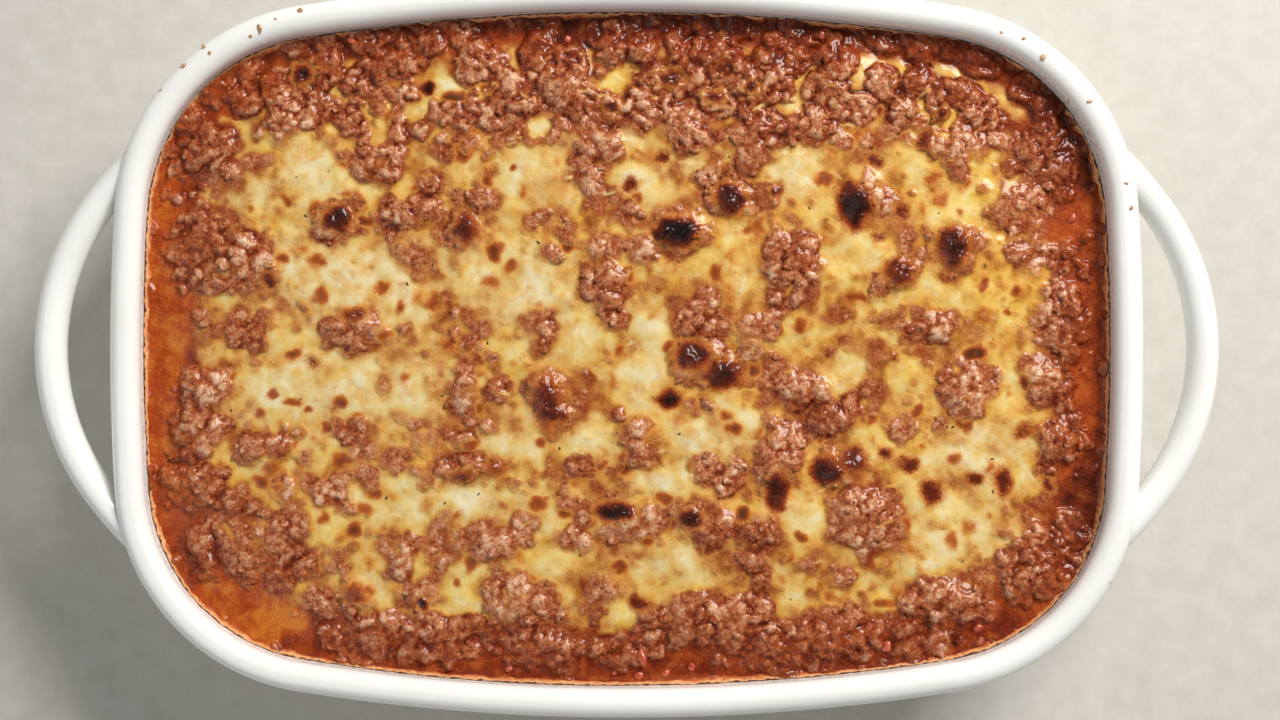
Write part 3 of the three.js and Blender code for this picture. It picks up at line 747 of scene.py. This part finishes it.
def food_material(name, gloss, bumpiness):
    """Sauce, mince and cheese in one skin, mixed by how each lies at every point."""
    shader = Shader(
        name, Subsurface_Weight=0.2, Subsurface_Radius=(1.0, 0.65, 0.4),
        Subsurface_Scale=0.0015, Specular_IOR_Level=0.08, Coat_Weight=gloss,
        Coat_Roughness=0.14,
    )
    wide = shader.noise(6.0, 4.0, 0.6, 0.4)
    mottle = shader.noise(2.4, 3.0, 0.6, 0.3)
    fine = shader.noise(0.9, 3.0, 0.65)

    def varied(key, *swings):
        value = shader.attribute(key)
        for texture, swing in swings:
            value = shader.math("ADD", value, shader.spread(texture, 0.3, 0.7, -swing, swing))
        return value

    # The sauce's brightness carries painted shade along the top and right walls, and painted
    # light at the left.
    sauce = shader.ramp(varied("bright", (wide, 0.24), (fine, 0.08)), SAUCE_TONES)
    # The mince's tone carries painted shade in creases and by the top and right walls, and
    # painted highlight on the lumps' tops.
    meat = shader.ramp(varied("tone", (mottle, 0.18), (fine, 0.2)), MEAT_TONES)
    colour = shader.mix(shader.attribute("meaty"), sauce, meat)
    cover = varied("cover", (wide, 0.1), (mottle, 0.04))
    cheese = shader.mix(
        varied("pale", (wide, 0.45)), shader.ramp(cover, YELLOW_CHEESE),
        shader.ramp(cover, PALE_CHEESE),
    )
    oil = shader.spread(shader.noise(7.5, 4.0, 0.6, 0.3), 0.52, 0.66, 0.0, 0.6)
    cheese = shader.mix(oil, cheese, linear(210, 148, 64))
    colour = shader.mix(shader.spread(cover, 0.0, 0.45), colour, cheese)
    toast = varied("toast", (mottle, 0.08), (fine, 0.03))
    colour = shader.mix(
        shader.spread(toast, 0.06, 0.4, 0.0, 0.95), colour, shader.ramp(toast, TOASTED)
    )
    char = varied("char", (fine, 0.12))
    colour = shader.mix(shader.spread(char, 0.05, 0.45), colour, shader.ramp(char, CHARRED))
    shader.connect(colour, "Base Color")
    shader.connect(shader.spread(shader.noise(3.0, 2.0), 0.3, 0.7, 0.3, 0.46), "Roughness")
    grainy = shader.spread(cover, 0.2, 0.6, 1.0, 0.2)
    bumps = shader.math("MULTIPLY", shader.noise(1.9, 3.0, 0.55, 0.3), grainy)
    shader.bump(bumps, 0.3 * bumpiness)
    bumps = shader.math("MULTIPLY", shader.noise(0.7, 3.0, 0.6), grainy)
    shader.bump(bumps, 0.44 * bumpiness)
    return shader.material


def mottled_material(name, grain, stops, roughness, relief=None, **sockets):
    """A material of two tones in soft patches, rougher where it is lighter.

    Relief is the wavelength, detail and depth of its bumps.
    """
    shader = Shader(name, **sockets)
    patches = shader.noise(*grain)
    shader.connect(shader.ramp(patches, stops), "Base Color")
    shader.connect(shader.spread(patches, 0.3, 0.7, *roughness), "Roughness")
    if relief:
        wavelength, detail, depth = relief
        shader.bump(shader.noise(wavelength, detail), depth)
    return shader.material


def glaze_material():
    shader = Shader(
        "white_glaze", Roughness=0.16, Coat_Weight=0.6, Coat_Roughness=0.05,
        Subsurface_Weight=0.05, Subsurface_Radius=(1.0, 0.9, 0.8), Subsurface_Scale=0.001,
    )
    cloud = shader.noise(38.0, 3.0)
    colour = shader.ramp(cloud, [(0.3, 238, 237, 233), (0.7, 244, 244, 241)])
    stain = shader.attribute("stain")
    specks = shader.spread(shader.noise(1.5, 4.0, 0.7), 0.52, 0.7)
    share = shader.math("MULTIPLY", stain, specks, clamp=True)
    colour = shader.mix(share, colour, linear(176, 128, 84))
    shader.connect(colour, "Base Color")
    shader.bump(shader.noise(14.0, 2.0), 0.12)
    shader.bump(shader.noise(2.5, 1.0), 0.01)
    return shader.material


def crust_material():
    shader = Shader("baked_edge", Coat_Weight=0.2, Coat_Roughness=0.3)
    rise = shader.attribute("rise")
    rise = shader.math("ADD", rise, shader.spread(shader.noise(2.0, 3.0), 0.3, 0.7, -0.2, 0.2))
    colour = shader.ramp(rise, [
        (0.0, 150, 62, 26), (0.36, 186, 96, 46), (0.56, 224, 150, 92),
        (0.74, 236, 184, 130), (0.88, 150, 88, 50), (1.0, 64, 34, 22),
    ])
    shader.connect(colour, "Base Color")
    shader.connect(shader.spread(shader.noise(1.5, 2.0), 0.3, 0.7, 0.35, 0.7), "Roughness")
    shader.bump(shader.noise(1.2, 3.0), 0.3)
    return shader.material


def filled_grid(cell, limit, height):
    """A sheet of square cells over the dish's mouth, its edge drawn to the outline."""
    columns = int(2 * RIM_HALF_LENGTH / cell) // 2 * 2
    rows = int(2 * RIM_HALF_WIDTH / cell) // 2 * 2
    x, y = np.meshgrid(
        (np.arange(columns + 1) - columns / 2) * cell, (np.arange(rows + 1) - rows / 2) * cell
    )
    inside = depth_inside(x, y) >= limit
    corner = np.arange(x.size).reshape(x.shape)
    cells = np.stack([corner[:-1, :-1], corner[:-1, 1:], corner[1:, 1:], corner[1:, :-1]], -1)
    cells = cells.reshape(-1, 4)
    kept = cells[inside.ravel()[cells].any(axis=1)]
    plan = np.stack(drawn_to_depth(x.ravel(), y.ravel(), limit, 1), 1)
    plan, faces = compacted(plan, kept)
    return np.column_stack([plan, height(plan[:, 0], plan[:, 1])]), faces


def closed_below(points, faces, floor_z, inset):
    """The sheet made solid, as triangles: walls down from its edge, and a floor."""
    edges = np.concatenate([faces[:, [n, (n + 1) % 4]] for n in range(4)])
    forward = {tuple(edge) for edge in edges.tolist()}
    rim = {a: b for a, b in forward if (b, a) not in forward}
    start = next(iter(rim))
    loop = [start]
    while rim[loop[-1]] != start:
        loop.append(rim[loop[-1]])
    loop = np.array(loop)
    edge = points[loop]
    shrink = 1 - inset / np.hypot(edge[:, 0], edge[:, 1])
    low = np.stack([edge[:, 0] * shrink, edge[:, 1] * shrink, np.full(len(loop), floor_z)], 1)
    low_index = len(points) + np.arange(len(loop))
    middle = len(points) + len(loop)
    following = np.roll(np.arange(len(loop)), -1)
    walls = np.stack([loop[following], loop, low_index, low_index[following]], 1)
    base = np.stack([low_index[following], low_index, np.full(len(loop), middle)], 1)
    all_points = np.concatenate([points, low, [[0, 0, floor_z]]])
    return all_points, np.concatenate([halved(np.concatenate([faces, walls])), base])


def dish_profile():
    """Outer foot, wall, bead and inside of the dish, as offset and height."""
    bead_angles = np.radians(np.linspace(-42, 180, 24))
    bead_z = DISH_HEIGHT - RIM_BEAD_RADIUS
    bead = [
        (RIM_BEAD_RADIUS * (math.cos(a) - 1), bead_z + RIM_BEAD_RADIUS * math.sin(a))
        for a in bead_angles
    ]
    outer = [
        (-60, 1.2), (-30, 1.2), (-28.4, 1.1), (-27.6, 0.3), (-26.6, 0), (-24, 0), (-21.6, 0),
        (-20.4, 0.3), (-18.6, 1.6), (-16.2, 5), (-14.6, 8.6), (-13.4, 12), (-10.7, 23.5),
        (-8.2, 35), (-6.2, 46), (-4.5, 55), (-3.9, 58), (-3.0, 60),
    ]
    inner = [
        (-10.15, 63), (-10.4, 61.5), (-10.7, 60), (-11.4, 55), (-12.3, 50), (-13.8, 39),
        (-15.3, 29), (-17, 21), (-19, 15), (-20.8, 11.8), (-23, 9.6), (-26, 8.1), (-30, 7.3),
        (-38, 7), (-60, 7),
    ]
    return outer + bead + inner


def dish_mesh():
    """The bowl as rings of its outline, and the two handles as oval bars on arcs."""
    profile = smooth_profile(dish_profile())
    count = len(outline(0, RIM_POINTS))
    rings = [
        np.column_stack([outline(offset, RIM_POINTS), np.full(count, z)]) for offset, z in profile
    ]
    points = np.concatenate(rings)
    faces = ring_faces(len(rings), count)
    caps = []
    for ring_start, faces_up in ((0, False), ((len(rings) - 1) * count, True)):
        middle = len(points)
        points = np.concatenate([points, [[0, 0, points[ring_start, 2]]]])
        here = ring_start + np.arange(count)
        there = ring_start + (np.arange(count) + 1) % count
        order = [here, there] if faces_up else [there, here]
        caps.append(np.stack([*order, np.full(count, middle)], 1))
    triangles = np.concatenate([halved(faces), *caps])
    for side in (1, -1):
        bar, bar_faces = handle_mesh(side)
        triangles = np.concatenate([triangles, bar_faces + len(points)])
        points = np.concatenate([points, bar])
    return points, triangles


def smooth_profile(profile):
    """The same profile with a point added on a soft curve between each two."""
    line = np.array(profile)
    before = np.vstack([line[:1], line[:-2]])
    after = np.vstack([line[2:], line[-1:]])
    middle = (9 * (line[:-1] + line[1:]) - before - after) / 16
    woven = np.empty((2 * len(line) - 1, 2))
    woven[0::2] = line
    woven[1::2] = middle
    return woven


def ring_faces(rings, count):
    """Quads between closed rings of equal count."""
    ring = np.arange(rings - 1)[:, None] * count
    here = np.arange(count)[None, :]
    there = (here + 1) % count
    quads = np.stack([ring + here, ring + there, ring + there + count, ring + here + count], -1)
    return quads.reshape(-1, 4)


def handle_mesh(side):
    """An oval bar on a level arc, thicker where it runs into the wall."""
    turns = np.linspace(-HANDLE_HALF_ANGLE, HANDLE_HALF_ANGLE, HANDLE_STEPS + 1)
    around = np.linspace(0, 2 * math.pi, HANDLE_SIDES, endpoint=False)
    spread = smoothstep(np.abs(turns), HANDLE_FLARE_START, HANDLE_HALF_ANGLE)
    scale = 1 + (HANDLE_FLARE - 1) * spread
    angle, ring = np.meshgrid(np.radians(turns), around, indexing="ij")
    radius = HANDLE_ARC_RADIUS + HANDLE_HALF_WIDTH * scale[:, None] * np.cos(ring)
    centre_x = HANDLE_REACH - HANDLE_ARC_RADIUS
    points = np.stack([
        side * (centre_x + radius * np.cos(angle)),
        side * radius * np.sin(angle),
        HANDLE_CENTRE_Z - HANDLE_HALF_HEIGHT * scale[:, None] * np.sin(ring),
    ], -1).reshape(-1, 3)
    points[:, 0], points[:, 1] = drawn_to_depth(points[:, 0], points[:, 1], HANDLE_END_DEPTH, -1)
    return points, halved(ring_faces(len(turns), HANDLE_SIDES))


def build_dish():
    points, triangles = dish_mesh()
    depth = depth_inside(points[:, 0], points[:, 1])
    inner_wall = smoothstep(depth, 8.6, 10.2) * smoothstep(points[:, 2], 59, 62)
    fade = 1 - smoothstep(points[:, 2], 63, 67.5)
    corner = smoothstep(points[:, 0] + points[:, 1], 190, 235)
    stain = inner_wall * np.maximum(0.8 * fade, corner)
    add_piece("baking_dish", points, triangles, glaze_material(),
              {"stain": stain}, "dish")


def build_food():
    field = Field(FIELD_CELL)
    layers = layout_layers(field)
    reach = np.full(field.x.shape, 9.0)
    for spot in MINCE_CLUMPS:
        reach = np.minimum(reach, reach_of(field.x, field.y, spot, spot[4]))
    relief = CLUMP_RELIEF * (1 - smoothstep(reach, 0.3, 1.3))
    layers["bed"] = bed_height(field.x, field.y) + relief
    pour_cheese(field, layers)
    build_top(field, layers)
    build_bed(field, layers)
    build_crumbs(field, layers)
    build_bits(field, layers)
    return field, layers


def lay_mince(field, layers):
    """Lumps on lumps of browned mince, thick in the clumps and loose between them."""
    x, y, pool = field.x, field.y, layers["pool"]
    loose = (0.08 + 0.3 * layers["patchy"]) * (1 - 0.85 * pool) * (1 - 0.75 * layers["sauce"])
    bare = np.maximum(layers["top_side"], 1 - layers["inland"]) * (1 - layers["sauce"])
    _, _, mound = domes(*warped(x, y, 3.5, 9, 61), MOUND_SPACING, 35, 63)
    mound = smoothstep(mound, 0.1, 0.5)
    gap = layers["gap"] = layers["top_side"] * (1 - mound)
    loose += layers["top_side"] * (0.1 + 0.6 * mound) * (1 - 0.8 * pool)
    dense = np.maximum(1.25 * layers["clump"], loose) * (1 - 0.85 * gap)
    dense = np.clip(dense, 0, 1)

    def wanted(at_x, at_y):
        return field.read(dense, at_x, at_y)

    def wanted_big(at_x, at_y):
        return wanted(at_x, at_y) - 0.1
    wide_x, wide_y = warped(x, y, 2.0, 4.5, 5)
    near_x, near_y = warped(x, y, 0.5, 1.4, 15)
    big, big_value, _ = domes(wide_x, wide_y, BIG_SPACING, 20, 11, wanted_big)
    middling, middling_value, _ = domes(wide_x, wide_y, MIDDLING_SPACING, -33, 31, wanted)
    small, _, _ = domes(near_x, near_y, GRAIN_SPACING, 55, 51)
    body = np.maximum(smoothstep(big, 0, 0.35), smoothstep(middling, 0, 0.4))
    layers["mince"] = body
    heap = (BIG_HEIGHT - 0.15 * bare) * big + (MIDDLING_HEIGHT + 0.2 * bare) * middling
    mounded = (0.9 * bare + 0.7 * layers["top_side"]) * (mound - 0.5)
    layers["heap"] = heap + (GRAIN_HEIGHT * small + mounded) * body
    layers["lump_value"] = 0.5 * big_value + 0.5 * middling_value
    layers["filmed"] = smoothstep(big_value, 0.1, 0.9) * (1 - bare)


def scattered_spots(field, wanted, spacing, layer):
    """Soft round spots, ragged in outline and unlike in strength, where they are wanted."""
    x, y = warped(field.x, field.y, 0.42 * spacing, 0.65 * spacing, layer)

    def chance(at_x, at_y):
        return field.read(wanted, at_x, at_y)
    _, value, share = domes(x, y, spacing, 7 * layer, layer + 60, chance)
    return share, value


def drown_and_brown(field, layers):
    """Lumps drowned in the cheese, and round spots where it browned over them."""
    drowned = (0.74 - 0.3 * layers["pool"]) * layers["inland"]
    wide, wide_value = scattered_spots(field, drowned, DROWNED_SPACINGS[0], 25)
    near, _ = scattered_spots(field, drowned, DROWNED_SPACINGS[1], 33)
    layers["drowned"] = np.maximum(wide * (0.75 + 0.3 * wide_value), 0.45 * near)
    browned = (0.08 + 0.14 * layers["patchy"]) * layers["inland"]
    wide, wide_value = scattered_spots(field, browned, BROWNED_SPACINGS[0], 41)
    near, near_value = scattered_spots(field, 0.6 * browned, BROWNED_SPACINGS[1], 49)
    brown = np.maximum(wide * (0.6 + 0.4 * wide_value), near * (0.4 + 0.25 * near_value))
    layers["brown"] = blur(brown, FIELD_CELL, 0.7)


def pull_strands(field):
    """Thin strands that the cheese pulled over the mince, most of them towards the top."""
    x, y = warped(field.x, field.y, 0.8, 5, 57)
    strands = np.zeros(x.shape)
    for n in range(STRANDS):
        high = n < STRANDS_AT_TOP
        middle_x = rng.uniform(-70, 110) if high else rng.uniform(-120, 120)
        middle_y = rng.uniform(48, 104) if high else rng.uniform(-80, 50)
        angle, length = rng.normal(0.1, 0.45), rng.uniform(4, 10)
        along, across = turned(x - middle_x, y - middle_y, -angle)
        across = np.abs(across - rng.normal(0, 0.25) * along ** 2 / length)
        reach = np.abs(along) / (0.5 * length)
        strand = (1 - smoothstep(across, 0.1, 0.8)) * (1 - smoothstep(reach, 0.2, 1))
        strands = np.maximum(strands, strand)
    return strands


def cheese_film(field, layers):
    """How thick the film of cheese is, before any lump stands out of it."""
    x, y, pool, depth = field.x, field.y, layers["pool"], layers["depth"]
    film = FILM + FILM_IN_POOL * blur(pool, FIELD_CELL, 2.0)
    film += FILM_SWELL * rough_noise(x, y, 9, 21) + FILM_RIPPLE * rough_noise(x, y, 3.5, 34)
    film -= 0.08 * layers["top_side"] * (1 - pool)
    film += FILM_ON_CLUMP * blur(layers["clump"], FIELD_CELL, 1.5) + FILM_IN_GAP * layers["gap"]
    reached = np.maximum(layers["inland"], smoothstep(depth, 4, 13) * layers["gap"])
    film = film * reached - 0.5 * (1 - reached) * (1 - 0.6 * pool)
    return film + FILM_ON_SAUCE * layers["sauce"] * (1 - pool)


def raise_top(field, layers, film, strands, sunk):
    """The height of the skin: cheese level between the lumps, sauce creeping up the wall."""
    x, y, depth = field.x, field.y, layers["depth"]
    bed = blur(layers["bed"], FIELD_CELL, 1.4)
    level = bed - 0.1 + FILM_HEIGHT * blur(np.clip(film, -0.6, 1), FIELD_CELL, 1.4)
    level += 0.35 * sunk + 0.35 * layers["brown"] + 0.06 * noise(x, y, 1.9)
    level += 0.15 * np.abs(rough_noise(x, y, 5.5, 31))
    burnt = 0.7 * smoothstep(layers["char"], 0.3, 0.7)
    top = soft_max(level, bed + layers["heap"] + burnt, 0.45)
    by_wall = 1 - smoothstep(depth, 0.4, 3.2)
    creep = CREEP_HEIGHT * by_wall * (0.7 + 0.5 * rough_noise(x, y, 12, 61))
    layers["top"] = top + creep + 0.25 * strands * layers["inland"]
    # Returned: how far the skin stands above or below its surroundings, from -1 to 1, which
    # paints shade in creases and highlight on tops.
    return np.clip((top - blur(top, FIELD_CELL, 1.8)) / 0.7, -1, 1)


def pour_cheese(field, layers):
    """The food's top skin: mince in lumps, with cheese level in the pools and thin over it."""
    x, y, depth = field.x, field.y, layers["depth"]
    layers["inland"] = inland = smoothstep(depth, 6, 24)
    layers["top_side"] = top_side = smoothstep(y, 62, 84)
    layers["patchy"] = smoothstep(rough_noise(x, y, 17, 11), -0.5, 0.4)
    lay_mince(field, layers)
    drown_and_brown(field, layers)
    strands = pull_strands(field)
    body, heap = layers["mince"], layers["heap"]
    film = cheese_film(field, layers)
    soft_heap = 0.4 * heap + 0.6 * blur(heap, FIELD_CELL, 1.1)
    sunk = blur(layers["drowned"], FIELD_CELL, 0.8)
    shown = 0.38 * (1 - 0.5 * layers["filmed"])
    cover = np.clip(film - shown * soft_heap - 0.38 * sunk, 0, 1)
    layers["pale"] = layers["pale"] - 0.2 * (1 - cover) + 0.6 * strands
    layers["cover"] = np.maximum(cover, 0.6 * strands * inland)
    layers["meaty"] = smoothstep(soft_heap + 0.7 * sunk, 0.15, 0.9) * (0.5 + 0.5 * inland)
    stands = raise_top(field, layers, film, strands, sunk)
    # Painted shadow: the mince is made darker along the top and right walls, where the rim's
    # shadow falls. It is also a little darker near the wall all round.
    painted_wall_shadow = (1 - smoothstep(depth, 3, 20)) * smoothstep(x / 150 + y / 100, 0.5, 1.2)
    tone = 0.5 + 0.24 * layers["lump_value"] + 0.15 * rough_noise(x, y, 22, 71)
    tone += 0.06 * inland * (1 - top_side) - 0.3 * painted_wall_shadow - 0.12 * (1 - inland)
    # Painted shade darkens the mince in its creases, and painted highlight lightens the tops of
    # its lumps.
    layers["tone"] = tone + 0.75 * np.minimum(stands, 0) * body + 0.38 * np.maximum(stands, 0)
    mottle = smoothstep(rough_noise(x, y, 6.5, 41), 0.1, 0.8)
    toast = (0.12 + 0.3 * mottle) * blur(body, FIELD_CELL, 2.0) + 0.2 * mottle
    toast = (toast + 0.95 * layers["brown"]) * smoothstep(layers["cover"], 0.05, 0.4)
    toast = np.maximum(toast, 0.66 * layers["toast_spots"])
    halo = np.minimum(1, 2.2 * blur(layers["char"], FIELD_CELL, 1.8))
    layers["toast"] = np.maximum(toast, 0.55 * halo)


SKIN_KEYS = ("cover", "toast", "pale", "bright", "meaty", "char", "tone")


def build_top(field, layers):
    """The whole top skin, in four pieces: thick cheese, thin cheese, filmed mince, sauce."""
    def height(x, y):
        return field.read(layers["top"], x, y)
    points, faces = filled_grid(TOP_CELL, FOOD_EDGE_DEPTH, height)
    middle = points[faces].mean(axis=1)
    cover = field.read(layers["cover"], middle[:, 0], middle[:, 1])
    depth = field.read(layers["depth"], middle[:, 0], middle[:, 1])
    kind = np.where(cover > THICK_CHEESE, 0, np.where(cover > THIN_CHEESE, 1, 2))
    kind = np.where(depth < SAUCE_RING, 3, kind)
    material = food_material("baked_top", 0.42, 1.0)
    names = ("cheese_sheet", "thin_cheese", "filmed_mince", "sauce_skin")
    for number, name in enumerate(names):
        part, part_faces = compacted(points, faces[kind == number])
        values = {key: field.read(layers[key], part[:, 0], part[:, 1]) for key in SKIN_KEYS}
        add_piece(name, part, part_faces, material, values,
                  "melted_cheese" if number == 0 else None)


def build_bed(field, layers):
    """The solid body of the lasagna under its skin."""
    under = blur(layers["bed"], FIELD_CELL, 1.5) - BODY_BELOW_SKIN
    material = mottled_material(
        "lasagna_body", (6.0, 3.0), [(0.3, 130, 50, 24), (0.7, 176, 92, 44)], (0.35, 0.55),
        (2.0, 3.0, 0.4), Subsurface_Weight=0.1, Subsurface_Scale=0.002,
    )

    def height(x, y):
        return field.read(under, x, y)
    sheet = filled_grid(BED_CELL, FOOD_EDGE_DEPTH, height)
    points, triangles = closed_below(*sheet, FLOOR_TOP, BODY_TAPER)
    add_piece("lasagna_body", points, triangles, material, None, "lasagna")


def build_crumbs(field, layers):
    """The crumbs that stand out of the skin, each a mesh of its true size."""
    x, y, radius = choose_crumbs(field, layers).T
    smooth_top = blur(layers["top"], FIELD_CELL, 0.6)
    z = field.read(smooth_top, x, y) - 0.35 * radius
    material = food_material("browned_mince", 0.42, 1.2)
    coarse, finer = crumb_shapes(3, 18), crumb_shapes(2, 18)
    kinds = (("mince_lumps", 2.0, 9, coarse), ("mince_crumbs", 1.2, 2.0, finer),
             ("mince_grains", 0, 1.2, finer))
    for name, smallest, largest, shapes in kinds:
        chosen = (radius >= smallest) & (radius < largest)
        points, faces = scatter(shapes, x[chosen], y[chosen], z[chosen], radius[chosen], 0.72)
        px, py = points[:, 0], points[:, 1]
        proud = np.clip(points[:, 2] - field.read(layers["top"], px, py), -0.5, 1)
        values = {key: field.read(layers[key], px, py) for key in SKIN_KEYS}
        values["cover"] = values["cover"] - 0.25 * proud
        # The crumbs are lighter the further they stand out of the skin: painted highlight on
        # their tops.
        values["tone"] = 0.6 * values["tone"] + 0.16 + 0.25 * proud
        add_piece(name, points, faces, material, values)


def build_bits(field, layers):
    """Bits of tomato in the sauce, and flecks of dried herb over it all."""
    flesh = mottled_material(
        "tomato_bit", (1.8, 3.0), [(0.3, 150, 50, 26), (0.7, 205, 100, 66)], (0.2, 0.4),
        (1.2, 2.0, 0.2), Subsurface_Weight=0.3, Subsurface_Radius=(1.0, 0.3, 0.1),
        Subsurface_Scale=0.002, Coat_Weight=0.6, Coat_Roughness=0.1,
    )
    leaf = mottled_material(
        "dried_herb", (0.8, 3.0), [(0.3, 52, 34, 14), (0.7, 96, 72, 32)], (0.5, 0.8),
        (0.8, 3.0, 0.1),
    )
    shapes = crumb_shapes(3, 6, 0.5)
    x, y, radius = np.array(TOMATO_BITS).T
    points, faces = scatter(shapes, x, y, field.read(layers["top"], x, y), radius, 0.6)
    add_piece("tomato_bits", points, faces, flesh)
    ball, ball_faces = icosphere(1)
    x = rng.uniform(-155, 155, HERB_FLECKS * 3)
    y = rng.uniform(-108, 108, HERB_FLECKS * 3)
    inside = depth_inside(x, y) > MOUTH_DEPTH + 3
    x, y = x[inside][:HERB_FLECKS], y[inside][:HERB_FLECKS]
    flecks, fleck_faces = [], []
    for n in range(len(x)):
        spin = rng.uniform(0, math.pi)
        size = rng.uniform(0.3, 0.9)
        shape = ball * (size, 0.45 * size, 0.18)
        z = field.read(layers["top"], x[n], y[n]) + 0.1
        placed = np.stack([*turned(shape[:, 0], shape[:, 1], spin), shape[:, 2]], 1)
        flecks.append(placed + (x[n], y[n], z))
        fleck_faces.append(ball_faces + n * len(ball))
    add_piece("herb_flecks", np.concatenate(flecks), np.concatenate(fleck_faces), leaf)


def build_edge(field, layers):
    """The ring of sauce baked on the wall above the food, with its ragged dark top."""
    ring = outline(-MOUTH_DEPTH - 0.5, BAKED_EDGE_POINTS)
    x, y = ring.T
    low = field.read(layers["top"], x, y) - 1.5
    ragged = 0.7 * rough_noise(x, y, 26, 81) + 0.45 * rough_noise(x, y, 3.2, 82)
    high = BAKED_EDGE_Z + ragged
    outward = ring - np.clip(ring, (-CORNER_X, -CORNER_Y), (CORNER_X, CORNER_Y))
    outward /= np.hypot(*outward.T)[:, None]
    levels = []
    shares = np.arange(BAKED_EDGE_ROWS + 1) / BAKED_EDGE_ROWS
    for share in shares:
        z = low + (high - low) * share
        wall = -10.15 - 0.55 * np.clip((63 - z) / 3, 0, 2)
        fillet = (1.2 + 0.7 * noise(x, y, 4.1, 83)) * (1 - share) ** 1.5
        shift = wall + MOUTH_DEPTH + 0.5 - 0.15 - fillet
        levels.append(np.column_stack([ring + outward * shift[:, None], z]))
    add_piece("baked_edge", np.concatenate(levels), ring_faces(len(shares), len(ring)),
              crust_material(), {"rise": np.repeat(shares, len(ring))})


def build_spatters():
    """Drops of sauce dried on the round of the rim."""
    material = mottled_material(
        "dried_spatter", (1.0, 3.0), [(0.3, 150, 100, 60), (0.7, 206, 168, 124)], (0.35, 0.6),
        (0.6, 2.0, 0.06), Coat_Weight=0.2,
    )
    x, y, radius = np.array(RIM_SPATTERS).T
    across = np.clip(depth_inside(x, y) - RIM_BEAD_RADIUS, -4.9, 4.9)
    z = DISH_HEIGHT - RIM_BEAD_RADIUS + np.sqrt(RIM_BEAD_RADIUS ** 2 - across ** 2)
    points, faces = scatter(crumb_shapes(3, 5, 0.3), x, y, z, radius, 0.28)
    add_piece("rim_spatters", points, faces, material)


def add_area_light(name, position, size, power, colour):
    """A rectangular light that faces the dish."""
    light = bpy.data.lights.new(name, "AREA")
    light.shape = "RECTANGLE"
    light.size, light.size_y = size
    light.energy = power
    light.color = colour
    lamp = bpy.data.objects.new(name, light)
    bpy.context.collection.objects.link(lamp)
    lamp.location = position
    direction = Vector(LIT_POINT) - Vector(position)
    lamp.rotation_euler = direction.to_track_quat("-Z", "Y").to_euler()


def build_studio():
    """A pale floor, a window's light from the upper right, a weak fill, sky and camera."""
    bpy.ops.mesh.primitive_plane_add(size=FLOOR_SIZE, location=(0, 0, 0))
    floor = bpy.context.object
    floor.name = "floor"
    floor.data.materials.append(mottled_material(
        "pale_floor", (9.0, 5.0, 0.6), [(0.3, 196, 192, 182), (0.7, 208, 204, 195)], (0.6, 0.75),
    ))
    add_area_light("window", **WINDOW)
    add_area_light("fill", **FILL)
    world = bpy.data.worlds.new("studio")
    bpy.context.scene.world = world
    world.use_nodes = True
    nodes, links = world.node_tree.nodes, world.node_tree.links
    background = nodes["Background"]
    background.inputs["Strength"].default_value = SKY_STRENGTH
    direction = nodes.new("ShaderNodeSeparateXYZ")
    links.new(nodes.new("ShaderNodeTexCoord").outputs["Generated"], direction.inputs[0])
    sky = nodes.new("ShaderNodeValToRGB")
    links.new(direction.outputs["Z"], sky.inputs["Fac"])
    for element, stop in zip(sky.color_ramp.elements, (SKY_LOW, SKY_HIGH)):
        element.position, element.color = stop
    links.new(sky.outputs["Color"], background.inputs["Color"])
    camera_data = bpy.data.cameras.new("camera")
    camera_data.lens = LENS_MM
    camera_data.sensor_width = SENSOR_MM
    camera = bpy.data.objects.new("camera", camera_data)
    bpy.context.collection.objects.link(camera)
    height = DISH_HEIGHT + FRAME_WIDTH_AT_RIM * LENS_MM / SENSOR_MM
    camera.location = (CAMERA_TARGET[0] * MM, CAMERA_TARGET[1] * MM, height * MM)
    bpy.context.scene.camera = camera
    bpy.context.scene.view_settings.view_transform = "Standard"


build_dish()
food_field, food_layers = build_food()
build_edge(food_field, food_layers)
build_spatters()
build_studio()
